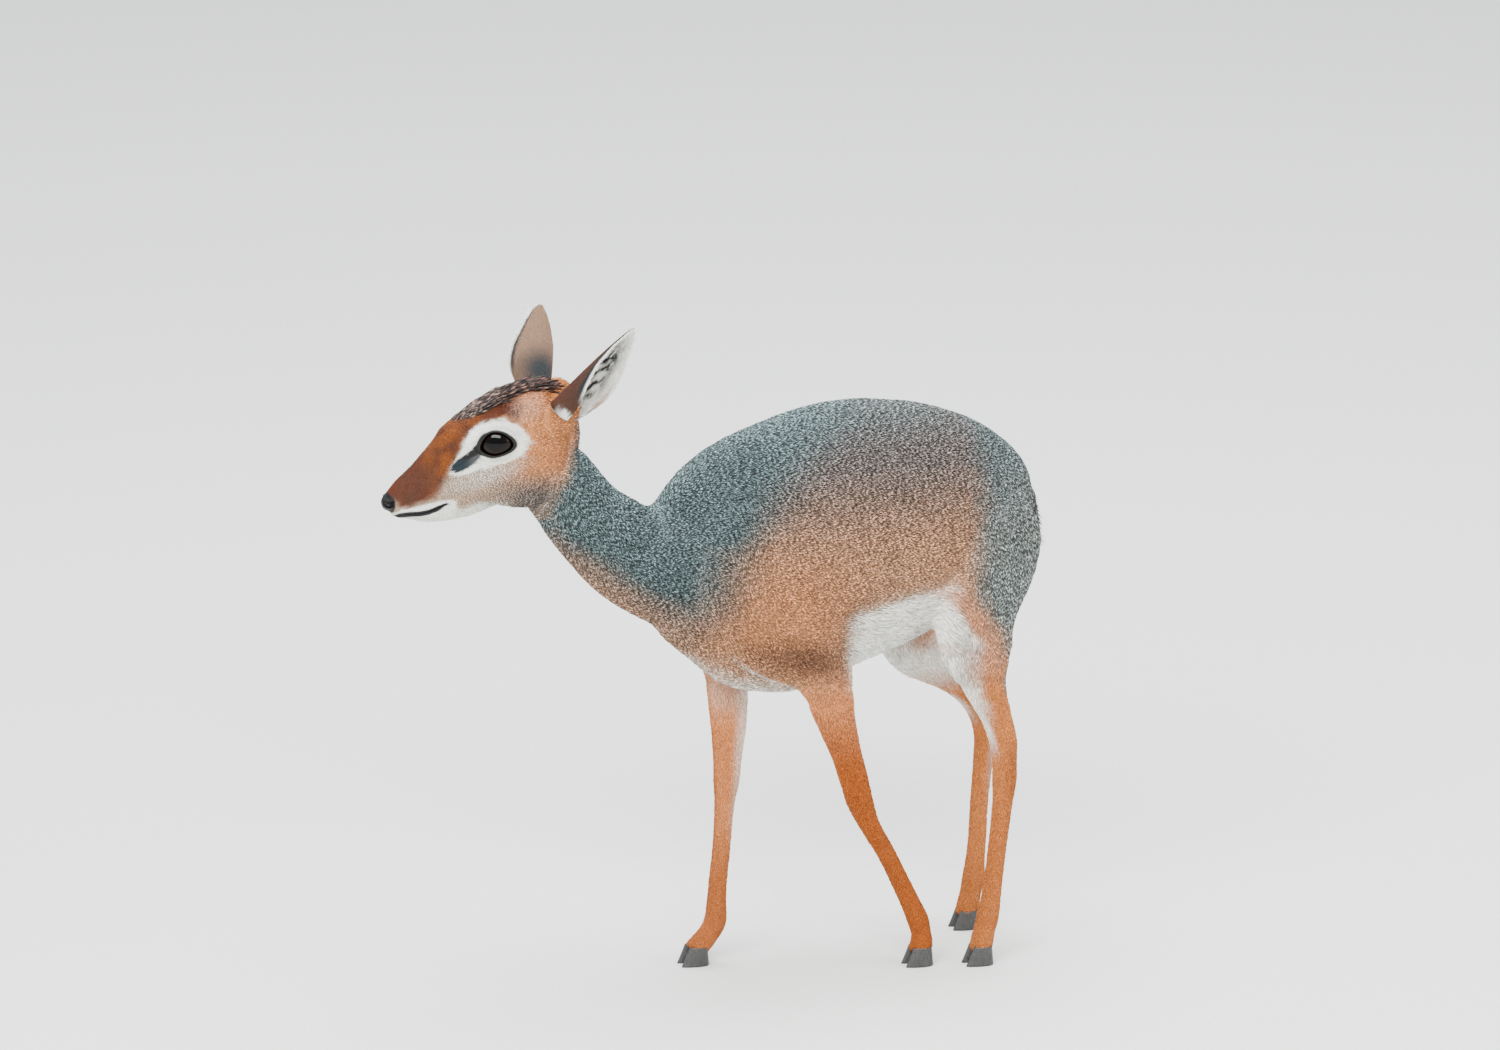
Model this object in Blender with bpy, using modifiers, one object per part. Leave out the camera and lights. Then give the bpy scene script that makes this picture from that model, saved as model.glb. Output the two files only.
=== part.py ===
"""A life-size standing dik-dik, a small antelope, in metres with +Z up and its head towards -X.

The body is lofted whole, blended, thinned and then parted with thin cuts into named pieces.
The animal's left side is at -Y. Hooves stand on Z = 0.
"""

import math

import bmesh
import bpy
import numpy as np
from mathutils import Matrix, Vector
from mathutils.bvhtree import BVHTree

MM = 0.001
GAP = 0.3 * MM

# Trunk sections from breast to rump: x, centre height, rise, drop, half width, in millimetres
TRUNK = (
    (-164, 288, 18, 20, 17),
    (-154, 290, 38, 40, 32),
    (-136, 293, 66, 60, 43),
    (-113, 296, 86, 82, 50),
    (-83, 299, 99, 93, 55),
    (-50, 301, 107, 95, 59),
    (-15, 304, 110, 84, 62),
    (18, 307, 107, 76, 63),
    (48, 310, 98, 66, 61),
    (72, 310, 85, 58, 56),
    (92, 306, 69, 48, 49),
    (106, 300, 50, 40, 37),
    (114, 296, 28, 26, 24),
)

# Limb and neck sections along a path: x, y, z, half width, rear or nape radius, front or throat radius
NECK = (
    (-246, 8, 404, 20, 21, 30),
    (-227, 5, 380, 24, 28, 29),
    (-208, 3, 348, 27, 33, 28),
    (-190, 1, 330, 31, 36, 32),
    (-171, 0, 315, 36, 40, 36),
    (-150, 0, 307, 42, 51, 43),
    (-122, 0, 303, 45, 60, 57),
)
LEFT_SHOULDER = (
    (-90, -26, 350, 16, 20, 20),
    (-100, -36, 330, 20, 28, 28),
    (-104, -42, 300, 20, 32, 32),
    (-80, -42, 262, 20, 32, 32),
    (-48, -42, 235, 18, 26, 24),
    (-35, -42, 208, 14, 17, 17),
)
RIGHT_SHOULDER = (
    (-100, 26, 350, 16, 20, 20),
    (-112, 36, 330, 20, 28, 28),
    (-116, 40, 300, 20, 32, 30),
    (-104, 38, 262, 20, 32, 28),
    (-91, 33, 235, 17, 23, 22),
    (-90, 26, 208, 13, 16, 16),
)
LEFT_FORELEG = (
    (-42, -43, 236, 13, 18, 18),
    (-35.5, -42, 207, 12.5, 17, 17.3),
    (-30.5, -41, 189, 11, 14, 14.6),
    (-22.8, -39, 165, 9.8, 11.2, 11.6),
    (-16, -38, 142, 9.2, 10.4, 10.6),
    (-11.5, -37.5, 127, 8.8, 9.4, 10.2),
    (-4, -37, 108, 6.8, 7.6, 7.6),
    (8, -36, 87, 6.0, 6.9, 6.9),
    (19.2, -36, 63.6, 6.2, 7.0, 7.0),
    (26.2, -36, 48, 6.9, 7.5, 7.0),
    (32.3, -36, 33, 8.2, 8.6, 7.4),
    (35, -36, 24.5, 7.9, 7.4, 7.4),
    (36, -36, 17, 8.8, 7.8, 8.6),
    (35, -36, 11, 8.8, 8, 9),
)
RIGHT_FORELEG = (
    (-90, 33, 236, 12.5, 17, 17),
    (-90, 25, 206, 12, 16, 15.5),
    (-90, 21, 178, 10.5, 13.8, 13.8),
    (-91, 20, 156, 9.5, 11.2, 11.2),
    (-92, 20, 134, 9, 9.6, 9.6),
    (-93.3, 20, 119, 7.6, 7.6, 7.6),
    (-94.5, 20, 102, 6.2, 7, 7),
    (-96, 20, 82, 5.8, 6.9, 6.9),
    (-98.4, 20, 60, 6.0, 7.1, 7.1),
    (-99.6, 19.5, 45, 6.8, 7.4, 7.4),
    (-101.5, 19, 31, 8.2, 9.0, 7.6),
    (-106, 19, 22, 8.2, 8.2, 7.6),
    (-112, 19, 15, 8.8, 8.4, 8.0),
    (-116, 19, 11, 8.8, 8.4, 8.0),
)
LEFT_HAUNCH = (
    (92, -24, 340, 20, 22, 26),
    (92, -32, 316, 25, 34, 44),
    (84, -39, 288, 26, 34, 48),
    (78, -46, 258, 22, 25, 38),
    (78, -49, 232, 17, 20.5, 32),
    (80, -49, 212, 13, 15, 22),
)
RIGHT_HAUNCH = (
    (92, 24, 340, 20, 22, 26),
    (90, 32, 316, 25, 34, 44),
    (76, 38, 288, 26, 38, 50),
    (60, 41, 256, 23, 36, 38),
    (54, 41, 232, 19, 32, 26),
    (60, 40, 212, 14, 20, 20),
)
LEFT_HINDLEG = (
    (78, -48, 240, 16, 22, 33),
    (78.5, -49, 217, 13, 16.5, 22),
    (82, -49, 200, 10.5, 13, 16),
    (87, -48.5, 182, 8.6, 12, 11),
    (91.5, -48, 164, 8.6, 11.6, 9.4),
    (93.5, -48, 148, 8.4, 9.6, 9),
    (93.7, -48, 134, 7.4, 9.2, 9.2),
    (92.3, -48, 118, 6.6, 7.8, 7.8),
    (88, -48.5, 83, 5.9, 7.1, 7.1),
    (84, -49, 53, 6.6, 7.4, 7.2),
    (81, -49, 36, 8.2, 8.8, 8),
    (79, -49, 27, 7.9, 8.2, 8),
    (77, -49, 17, 8.8, 8.2, 8.6),
    (76, -49, 11, 8.8, 8, 8.6),
)
RIGHT_HINDLEG = (
    (52, 41, 238, 17, 30, 26),
    (58, 40, 216, 15, 22, 24),
    (74, 38, 200, 12.5, 15, 19),
    (90, 35, 181, 10, 12.5, 9.5),
    (102, 32, 166, 8.6, 12, 8.6),
    (108, 31, 147, 8, 10, 8),
    (107.5, 31, 126, 6.6, 7.8, 7.6),
    (104.7, 31, 96, 5.9, 7.1, 7),
    (103, 31, 66, 5.9, 7.2, 7),
    (101.5, 31, 50, 6.8, 7.6, 7.2),
    (100, 31, 37, 8.2, 9, 8),
    (98.5, 31, 27, 7.9, 8, 8),
    (96.5, 31, 17, 8.8, 8.2, 8.6),
    (95.5, 31, 11, 8.8, 8.2, 8.6),
)
TAIL = (
    (98, 0, 352, 8, 8, 8),
    (112, 0, 349, 8, 7.5, 7.5),
    (124, 0, 339, 7.5, 6, 6),
    (130.5, 0, 325, 7, 4.5, 5),
    (133.5, 0, 308, 6, 3.5, 4),
    (133.5, 0, 294, 3.2, 2.0, 2.2),
)

TAIL_MESH = {"step": 16.0, "ring": 10}

# The head's own frame: t back from the nose tip, y to the animal's right, z towards the crown
NOSE_TIP = Vector((-345, 29, 363.5)) * MM
HEAD_PITCH = math.radians(15.3)
HEAD_YAW = math.radians(12.0)
# Head sections: t, centre height, rise, drop, half width, fullness of the upper half
HEAD = (
    (1.5, 0, 5.5, 5.5, 6, 0.0),
    (5, 0, 8.5, 9.5, 8.6, 0.0),
    (11, 0, 12.5, 14.5, 10.6, -0.08),
    (20, 1, 16.0, 21.5, 12, -0.12),
    (32, 3, 20, 28, 13.2, -0.12),
    (45, 6, 25, 33, 15.0, -0.05),
    (58, 9, 30.5, 36, 18.0, 0.05),
    (70, 13, 33, 40, 21.5, 0.12),
    (84, 16, 34.5, 43, 24.5, 0.14),
    (98, 17, 36, 47, 26.0, 0.12),
    (112, 16, 37, 53, 26.0, 0.06),
    (123, 13, 36, 55, 25.0, 0.0),
    (132, 11, 30, 46, 22, 0.0),
    (138, 9, 19, 26, 15, 0.0),
)
CHEEK = ((56, 9, -3, 4, 6, 6), (76, 15, -7, 7, 12, 12), (98, 17.5, -11, 9, 17, 17), (118, 14, -12, 8, 15, 15))
BROW = ((70, 17, 27, 5, 5, 5), (82, 22, 35, 6, 6, 6), (96, 23.5, 36, 6, 6, 6), (108, 22, 31, 5, 5, 5))
NOSE_PAD = (Vector((4.6, 3.4, 1.2)) * MM, Vector((4.6, 4.8, 5.6)) * MM)
UPPER_LIP = (Vector((12, 6.0, -7.0)) * MM, Vector((9.0, 4.6, 4.4)) * MM)
EAR_BOSS = ((124, 15, 20, 9, 9, 9), (137, 20, 30, 10, 11, 11), (143, 24, 38, 9, 9, 9))

# The crest runs along the crown between two distances back from the nose tip
CREST_FROM = 66 * MM
CREST_TO = 116 * MM
CREST_LOCKS = 30
CREST_HALF_WIDTH = 12 * MM
CREST_LENGTH = 25 * MM
CREST_RISE = 8.5 * MM
CREST_LOCK_HALF_WIDTH = 3.8 * MM
# A lock's sections: share of its length and share of its full width
LOCK_SECTIONS = ((-0.12, 0.7), (0.15, 1.0), (0.45, 0.9), (0.75, 0.55))
LOCK_HALF_THICKNESS = 1.9 * MM
LOCK_SINK = 1.2 * MM
# Steps of this share of the width never line up, so the locks spread evenly across
GOLDEN_SHARE = 0.618034

# The right eye in the head's frame; the left one is its reflection
EYE_CENTRE = Vector((89, 16.6, 27.5)) * MM
EYE_RADIUS = 14.5 * MM
EYE_AXIS = Vector((-0.20, 0.96, 0.17)).normalized()
EYE_SLANT = math.radians(16)
LID_HALF_WIDTH = 12.4 * MM
LID_HALF_HEIGHT = 9.0 * MM
LID_BEAD = 1.5 * MM
LID_COVER = 2.2 * MM

# The line of the mouth, t and z in the head's frame, from in front of the lips to their corner
MOUTH = ((-6, -19), (4, -12.5), (10, -10.0), (18, -11.0), (26, -11.6), (34, -11.2), (41, -9.8))
MOUTH_SLOT = 0.8 * MM
MOUTH_REACH = 26 * MM
NOSTRIL = Vector((2.6, 6.2, 1.0)) * MM
NOSTRIL_RADII = Vector((3.6, 2.2, 2.4)) * MM

# Ears: root and tip in the model's frame, and the way the cup opens
LEFT_EAR = (Vector((-229, -21, 433)) * MM, Vector((-183, -45, 495)) * MM, Vector((0.45, -0.82, -0.35)))
RIGHT_EAR = (Vector((-233, 24, 431)) * MM, Vector((-220, 50, 491)) * MM, Vector((-0.34, 0.89, -0.22)))
EAR_THICKNESS = 1.6 * MM
EAR_ROWS = 12
EAR_COLUMNS = 9
# The cup's section along the ear: share of its length, radius in millimetres, half angle in degrees
EAR_CUP = (
    (0, 10.0, 155),
    (0.2, 12.8, 125),
    (0.4, 17.0, 90),
    (0.6, 19.5, 62),
    (0.8, 15.0, 45),
    (0.93, 8.0, 38),
    (1, 1.6, 35),
)

# The solid plug that closes the funnel: distance from the root and radius, in millimetres
EAR_PLUG = ((-8, 9.6), (-1, 9.8), (4, 9.0))

# Hooves: two claws under each foot
HOOF_LENGTH = 21 * MM
HOOF_WIDTH = 8.4 * MM
HOOF_HEIGHT = 15 * MM
HOOF_CLEFT = 1.0 * MM
# How much narrower the claw is in front than behind, and the points around it
HOOF_TAPER = 0.42
HOOF_POINTS = 12
FEET = {
    "left_fore": Vector((34, -36, 0)) * MM,
    "right_fore": Vector((-116, 19, 0)) * MM,
    "left_hind": Vector((75, -49, 0)) * MM,
    "right_hind": Vector((95, 31, 0)) * MM,
}

GROUND_BLOCK = Vector((0.6, 0.4, 0.2))

# Thin cuts: centre, the cut's normal, half length and half width
CUTS = (
    ((-160, 0, 306), (0.93, 0, -0.37), 80, 70),
    ((-31, -42, 203), (0.15, 0, -1), 30, 22),
    ((-90, 26, 202), (0.05, 0, -1), 26, 22),
    ((-8, -38, 121), (0.2, 0, -1), 18, 16),
    ((-94, 21, 120), (0, 0, -1), 18, 16),
    ((78, -49, 234), (0.05, 0, -1), 50, 24),
    ((58, 41, 234), (0.05, 0, -1), 60, 24),
    ((94, -48, 149), (0, 0, -1), 20, 16),
    ((108, 31, 146), (0, 0, -1), 20, 16),
)
# Head and neck part along a plane from the nape to the throat, in the head's frame
HEAD_CUT = (Vector((124, 0, -18)) * MM, Vector((0.69, 0, -0.72)))

# A point near the middle of each parted piece
PIECES = {
    "head": (-285, 10, 395),
    "neck": (-205, 2, 340),
    "torso": (0, 0, 310),
    "left_forearm": (-22, -40, 165),
    "right_forearm": (-94, 23, 165),
    "left_fore_cannon": (10, -36, 70),
    "right_fore_cannon": (-103, 20, 70),
    "left_gaskin": (82, -49, 200),
    "right_gaskin": (72, 38, 195),
    "left_hind_cannon": (87, -49, 85),
    "right_hind_cannon": (101, 31, 85),
}

COARSE_VOXEL = 3.0 * MM
FINE_VOXEL = 1.6 * MM
BODY_TRIANGLES = 4200
RING_POINTS = 28

# Each finish: its material's name, linear colour and roughness
FINISHES = {
    "grey": ("grizzled_coat", (0.20, 0.19, 0.18, 1.0), 0.8),
    "rufous": ("rufous_coat", (0.48, 0.22, 0.09, 1.0), 0.8),
    "horn": ("hoof_horn", (0.02, 0.018, 0.016, 1.0), 0.45),
    "eye": ("eye", (0.01, 0.006, 0.005, 1.0), 0.1),
}


def head_frame():
    """The matrix from the head's own frame to the model's."""
    flat = Vector((math.cos(HEAD_YAW), -math.sin(HEAD_YAW), 0))
    up = Vector((0, 0, 1))
    back = flat * math.cos(HEAD_PITCH) + up * math.sin(HEAD_PITCH)
    crown = up * math.cos(HEAD_PITCH) - flat * math.sin(HEAD_PITCH)
    side = crown.cross(back)
    frame = Matrix((back, side, crown)).transposed().to_4x4()
    frame.translation = NOSE_TIP
    return frame


def clear_scene():
    for item in list(bpy.data.objects):
        bpy.data.objects.remove(item)


def new_object(name, mesh, collection):
    item = bpy.data.objects.new(name, mesh)
    collection.objects.link(item)
    return item


def finished(name, shape, collection):
    """An object from the bmesh, with its faces pointing out."""
    bmesh.ops.recalc_face_normals(shape, faces=shape.faces)
    mesh = bpy.data.meshes.new(name)
    shape.to_mesh(mesh)
    shape.free()
    return new_object(name, mesh, collection)


def skin_between(shape, loops):
    """Four-sided faces between each closed loop of points and the next."""
    for low, high in zip(loops, loops[1:]):
        count = len(low)
        for k in range(count):
            shape.faces.new((low[k], low[(k + 1) % count], high[(k + 1) % count], high[k]))


def evaluated_mesh(item):
    """The object's mesh with its modifiers applied."""
    graph = bpy.context.evaluated_depsgraph_get()
    graph.update()
    return bpy.data.meshes.new_from_object(item.evaluated_get(graph))


def apply_modifiers(item):
    mesh = evaluated_mesh(item)
    item.modifiers.clear()
    item.data = mesh
    return item


def resampled(rows, step):
    """Rows of a section table joined by a smooth curve, about one row for each step along its path."""
    rows = np.array(rows, float)
    padded = np.vstack([2 * rows[0] - rows[1], rows, 2 * rows[-1] - rows[-2]])
    made = []
    for i in range(1, len(padded) - 2):
        before, start, end, after = padded[i - 1 : i + 3]
        length = np.linalg.norm(end[:3] - start[:3])
        count = max(2, math.ceil(length / step))
        for k in range(count):
            u = k / count
            made.append(
                0.5
                * (
                    2 * start
                    + (end - before) * u
                    + (2 * before - 5 * start + 4 * end - after) * u**2
                    + (3 * start - before - 3 * end + after) * u**3
                )
            )
    made.append(rows[-1])
    return np.array(made)


def loft(rows, collection, step=6.0, cap=0.6, ring=RING_POINTS, fullness=None):
    """A closed tube through sections of x, y, z, half width, rear radius and front radius, in millimetres."""
    if fullness is None:
        fullness = np.zeros(len(rows))
    table = resampled(np.column_stack([np.array(rows, float), fullness]), step)
    centres = table[:, :3]
    tangents = np.gradient(centres, axis=0)
    tangents /= np.linalg.norm(tangents, axis=1)[:, None]
    rings = []
    for centre, tangent, row in zip(centres, tangents, table):
        side = np.array((0.0, 1.0, 0.0)) - tangent * tangent[1]
        side /= np.linalg.norm(side)
        rings.append((centre, side, np.cross(tangent, side), row[3:6], row[6]))
    shrinks = [(math.sin(a), math.cos(a)) for a in np.radians((75, 50, 25))]
    start, end = rings[0], rings[-1]
    first = [
        (start[0] - tangents[0] * s * cap * start[3][0], *start[1:3], start[3] * c, start[4])
        for s, c in shrinks
    ]
    last = [
        (end[0] + tangents[-1] * s * cap * end[3][0], *end[1:3], end[3] * c, end[4])
        for s, c in reversed(shrinks)
    ]
    shape = bmesh.new()
    loops = []
    for centre, side, rise, radii, full in first + rings + last:
        loop = []
        for angle in np.linspace(0, 2 * math.pi, ring, endpoint=False):
            across = radii[0] * math.cos(angle) * (1 + full * math.sin(angle))
            along = (radii[1] if math.sin(angle) > 0 else radii[2]) * math.sin(angle)
            loop.append(shape.verts.new((centre + side * across + rise * along) * MM))
        loops.append(loop)
    skin_between(shape, loops)
    for loop in (loops[0], loops[-1]):
        pole = shape.verts.new(sum((v.co for v in loop), Vector()) / ring)
        for k in range(ring):
            shape.faces.new((loop[k], loop[(k + 1) % ring], pole))
    return finished("loft", shape, collection)


def widened(rows):
    """The section table with each radius larger by the gap between neighbours."""
    return tuple((*row[:3], *(radius + GAP / MM for radius in row[3:])) for row in rows)


def mirrored(rows):
    return tuple((row[0], -row[1], *row[2:]) for row in rows)


def joined(name, items, collection):
    """One object that holds the meshes of several, which are removed."""
    shape = bmesh.new()
    for item in items:
        mesh = evaluated_mesh(item)
        mesh.transform(item.matrix_world)
        shape.from_mesh(mesh)
        bpy.data.meshes.remove(mesh)
        bpy.data.objects.remove(item)
    mesh = bpy.data.meshes.new(name)
    shape.to_mesh(mesh)
    shape.free()
    return new_object(name, mesh, collection)


def blended(item, voxel, rounds):
    """Overlapping closed forms made one surface, with the creases between them smoothed."""
    remesh = item.modifiers.new("union", "REMESH")
    remesh.mode = "VOXEL"
    remesh.voxel_size = voxel
    smooth = item.modifiers.new("ease", "SMOOTH")
    smooth.factor = 0.5
    smooth.iterations = rounds
    return apply_modifiers(item)


def lid_ring(collection):
    """A round bead along the edge of the eye's opening, lying on the eyeball."""
    frame = eye_frame()
    curve = bpy.data.curves.new("lid", "CURVE")
    curve.dimensions = "3D"
    curve.bevel_depth = LID_BEAD
    curve.bevel_resolution = 3
    outline = eye_outline(40, 1.0)
    spline = curve.splines.new("POLY")
    spline.points.add(len(outline) - 1)
    spline.use_cyclic_u = True
    for point, (across, rise) in zip(spline.points, outline):
        depth = math.sqrt(EYE_RADIUS**2 - across**2 - rise**2) + 0.9 * MM
        point.co = (*(frame @ Vector((across, rise, depth))), 1)
    return new_object("lid", curve, collection)


def eye_outline(count, size):
    """The almond edge of the eye's opening, across and up, narrower at its front corner."""
    made = []
    for angle in np.linspace(0, 2 * math.pi, count, endpoint=False):
        across = LID_HALF_WIDTH * size * math.cos(angle)
        pinch = 1 - 0.22 * (math.cos(angle) < 0) * math.cos(angle) ** 2
        made.append((across, LID_HALF_HEIGHT * size * math.sin(angle) * pinch))
    return made


def eye_opening(collection):
    """The column whose section is the eye's opening, reaching outward from the eyeball's middle."""
    frame = eye_frame()
    shape = bmesh.new()
    loops = []
    for depth, size in ((2 * MM, 0.86), (EYE_RADIUS * 1.5, 0.98)):
        loops.append([shape.verts.new(frame @ Vector((*spot, depth))) for spot in eye_outline(28, size)])
    skin_between(shape, loops)
    shape.faces.new(loops[0])
    shape.faces.new(loops[1])
    return finished("opening", shape, collection)


def eye_frame():
    """The right eye's frame in the head's: x towards the back corner, y up, z out through the pupil."""
    back = Vector((math.cos(EYE_SLANT), 0, math.sin(EYE_SLANT)))
    back = (back - EYE_AXIS * back.dot(EYE_AXIS)).normalized()
    up = back.cross(EYE_AXIS)
    if up.z < 0:
        up.negate()
    frame = Matrix((back, up, EYE_AXIS)).transposed().to_4x4()
    frame.translation = EYE_CENTRE
    return frame


def ball(centre, radii, collection, segments=24, rings=14):
    place = Matrix.Translation(centre) @ Matrix.Diagonal((*radii, 1))
    shape = bmesh.new()
    bmesh.ops.create_uvsphere(shape, u_segments=segments, v_segments=rings, radius=1, matrix=place)
    return finished("ball", shape, collection)


def mirror_side(item):
    """The object's mesh reflected to the other side of the head."""
    mesh = evaluated_mesh(item)
    mesh.transform(item.matrix_world)
    mesh.transform(Matrix.Diagonal((1, -1, 1, 1)))
    mesh.flip_normals()
    return new_object(item.name + "_mirrored", mesh, item.users_collection[0])


def head_forms(collection):
    """The head's overlapping forms, placed in the model's frame."""
    skull = np.array(HEAD, float)
    rows = np.column_stack(
        [skull[:, 0], np.zeros(len(skull)), skull[:, 1], skull[:, 4], skull[:, 2], skull[:, 3]]
    )
    forms = [loft(rows, collection, step=3.0, fullness=skull[:, 5])]
    for rows in (CHEEK, BROW, EAR_BOSS):
        forms.append(loft(rows, collection, step=3.0))
        forms.append(loft(mirrored(rows), collection, step=3.0))
    forms.append(lid_ring(collection))
    forms.append(mirror_side(forms[-1]))
    for centre, radii in (NOSE_PAD, UPPER_LIP, (EYE_CENTRE, Vector((1, 1, 1)) * (EYE_RADIUS + LID_COVER))):
        forms.append(ball(centre, radii, collection))
        forms.append(mirror_side(forms[-1]))
    frame = head_frame()
    for form in forms:
        form.matrix_world = frame
    return forms


def whole_body(collection):
    """The skin-covered body in one surface, from nose to tail and down to the hooves' tops."""
    trunk = np.array(TRUNK, float)
    rows = np.column_stack(
        [trunk[:, 0], np.zeros(len(trunk)), trunk[:, 1], trunk[:, 4], trunk[:, 2], trunk[:, 3]]
    )
    masses = [loft(rows, collection, ring=40)]
    for rows in (NECK, LEFT_SHOULDER, RIGHT_SHOULDER, LEFT_HAUNCH, RIGHT_HAUNCH):
        masses.append(loft(rows, collection))
    body = blended(joined("masses", masses, collection), COARSE_VOXEL, 16)
    forms = [body, *head_forms(collection)]
    for rows in (LEFT_FORELEG, RIGHT_FORELEG, LEFT_HINDLEG, RIGHT_HINDLEG):
        forms.append(loft(rows, collection, step=4.0, cap=0.3))
    return blended(joined("body", forms, collection), FINE_VOXEL, 5)


def thinned(item, triangles):
    """The surface with fewer triangles."""
    thin = item.modifiers.new("thin", "DECIMATE")
    thin.ratio = triangles / (2 * len(item.data.polygons))
    return apply_modifiers(item)


def cut_with(item, cutters, solver="EXACT"):
    """The cutters' shapes taken out of the object, and the cutters removed."""
    for cutter in cutters:
        cutter.hide_render = True
        cutter.display_type = "WIRE"
        cut = item.modifiers.new("cut", "BOOLEAN")
        cut.operation = "DIFFERENCE"
        cut.solver = solver
        cut.object = cutter
    apply_modifiers(item)
    for cutter in cutters:
        bpy.data.objects.remove(cutter)
    return item


def slab(centre, normal, half_length, half_width, collection):
    """A thin plate that parts what it crosses: half_length lies along X or Z, half_width along Y."""
    normal = Vector(normal).normalized()
    side = Vector((0, 1, 0))
    side = (side - normal * side.dot(normal)).normalized()
    frame = Matrix((side.cross(normal), side, normal)).transposed().to_4x4()
    frame.translation = Vector(centre) * MM
    size = Matrix.Diagonal((half_length * MM, half_width * MM, GAP / 2, 1))
    shape = bmesh.new()
    bmesh.ops.create_cube(shape, size=2, matrix=frame @ size)
    return finished("slab", shape, collection)


def loose_pieces(item):
    """Each closed surface of the object as a mesh of its own, with its middle, largest first."""
    shape = bmesh.new()
    shape.from_mesh(item.data)
    left = set(shape.faces)
    islands = []
    while left:
        seed = left.pop()
        island, edge = {seed}, [seed]
        while edge:
            face = edge.pop()
            for link in face.edges:
                for other in link.link_faces:
                    if other in left:
                        left.discard(other)
                        island.add(other)
                        edge.append(other)
        islands.append([face.index for face in island])
    shape.free()
    pieces = []
    for indices in sorted(islands, key=len, reverse=True):
        part = bmesh.new()
        part.from_mesh(item.data)
        part.faces.ensure_lookup_table()
        keep = set(indices)
        bmesh.ops.delete(part, geom=[f for f in part.faces if f.index not in keep], context="FACES")
        mesh = bpy.data.meshes.new("piece")
        part.to_mesh(mesh)
        part.free()
        middle = sum((v.co for v in mesh.vertices), Vector()) / len(mesh.vertices)
        pieces.append((mesh, middle))
    return pieces


def parted_body(collection, guides):
    body = thinned(whole_body(guides), BODY_TRIANGLES)
    frame = head_frame()
    cutters = [slab(*cut, guides) for cut in CUTS]
    centre = frame @ HEAD_CUT[0]
    normal = frame.to_3x3() @ HEAD_CUT[1]
    cutters.append(slab(centre / MM, normal, 60, 50, guides))
    cutters.append(ground_block(guides))
    cutters.append(loft(widened(TAIL), guides, **TAIL_MESH))
    cut_with(body, cutters)
    pieces = loose_pieces(body)
    bpy.data.objects.remove(body)
    nodes = {}
    for name, point in PIECES.items():
        mesh = min(pieces, key=lambda piece: (piece[1] - Vector(point) * MM).length)[0]
        mesh.name = name
        nodes[name] = new_object(name, mesh, collection)
    return nodes


def ground_block(collection):
    """A block whose top is the level where the feet end and the hooves begin."""
    place = Matrix.Translation((0, 0, HOOF_HEIGHT - GROUND_BLOCK.z / 2))
    shape = bmesh.new()
    bmesh.ops.create_cube(shape, size=1, matrix=place @ Matrix.Diagonal((*GROUND_BLOCK, 1)))
    return finished("ground", shape, collection)


def mouth_plate(collection):
    """The thin plate that opens the line of the mouth, from the front of the lips to their corners."""
    rows = resampled([(t, 0, z) for t, z in MOUTH], 3.0)
    shape = bmesh.new()
    edges = [
        [shape.verts.new(Vector((t * MM, y, z * MM))) for t, _, z in rows]
        for y in (-MOUTH_REACH, MOUTH_REACH)
    ]
    for k in range(len(rows) - 1):
        shape.faces.new((edges[0][k], edges[0][k + 1], edges[1][k + 1], edges[1][k]))
    plate = finished("mouth", shape, collection)
    plate.matrix_world = head_frame()
    wall = plate.modifiers.new("wall", "SOLIDIFY")
    wall.thickness = MOUTH_SLOT
    wall.offset = 0
    return plate


def finished_head(head, guides):
    """Adds the crest and opens the eyes' sockets, the nostrils and the line of the mouth."""
    locks = crest(head, guides)
    locks.display_type = "WIRE"
    fuse = head.modifiers.new("fuse", "BOOLEAN")
    fuse.operation = "UNION"
    fuse.use_self = True
    fuse.object = locks
    apply_modifiers(head)
    bpy.data.objects.remove(locks)
    frame = head_frame()
    cutters = [mouth_plate(guides)]
    for side in (1, -1):
        flip = Vector((1, side, 1))
        socket = ball(EYE_CENTRE * flip, Vector((1, 1, 1)) * (EYE_RADIUS + GAP), guides, 28, 18)
        hole = ball(NOSTRIL * flip, NOSTRIL_RADII, guides, 12, 8)
        opening = eye_opening(guides)
        if side == -1:
            opening, other = mirror_side(opening), opening
            bpy.data.objects.remove(other)
        for cutter in (socket, hole, opening):
            cutter.matrix_world = frame
        cutters += [socket, hole, opening]
    cut_with(head, cutters)
    return only_largest(head)


def eyeball(name, side, collection):
    centre = head_frame() @ (EYE_CENTRE * Vector((1, side, 1)))
    item = ball(centre, Vector((1, 1, 1)) * EYE_RADIUS, collection, 18, 10)
    item.name = name
    return item


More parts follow.
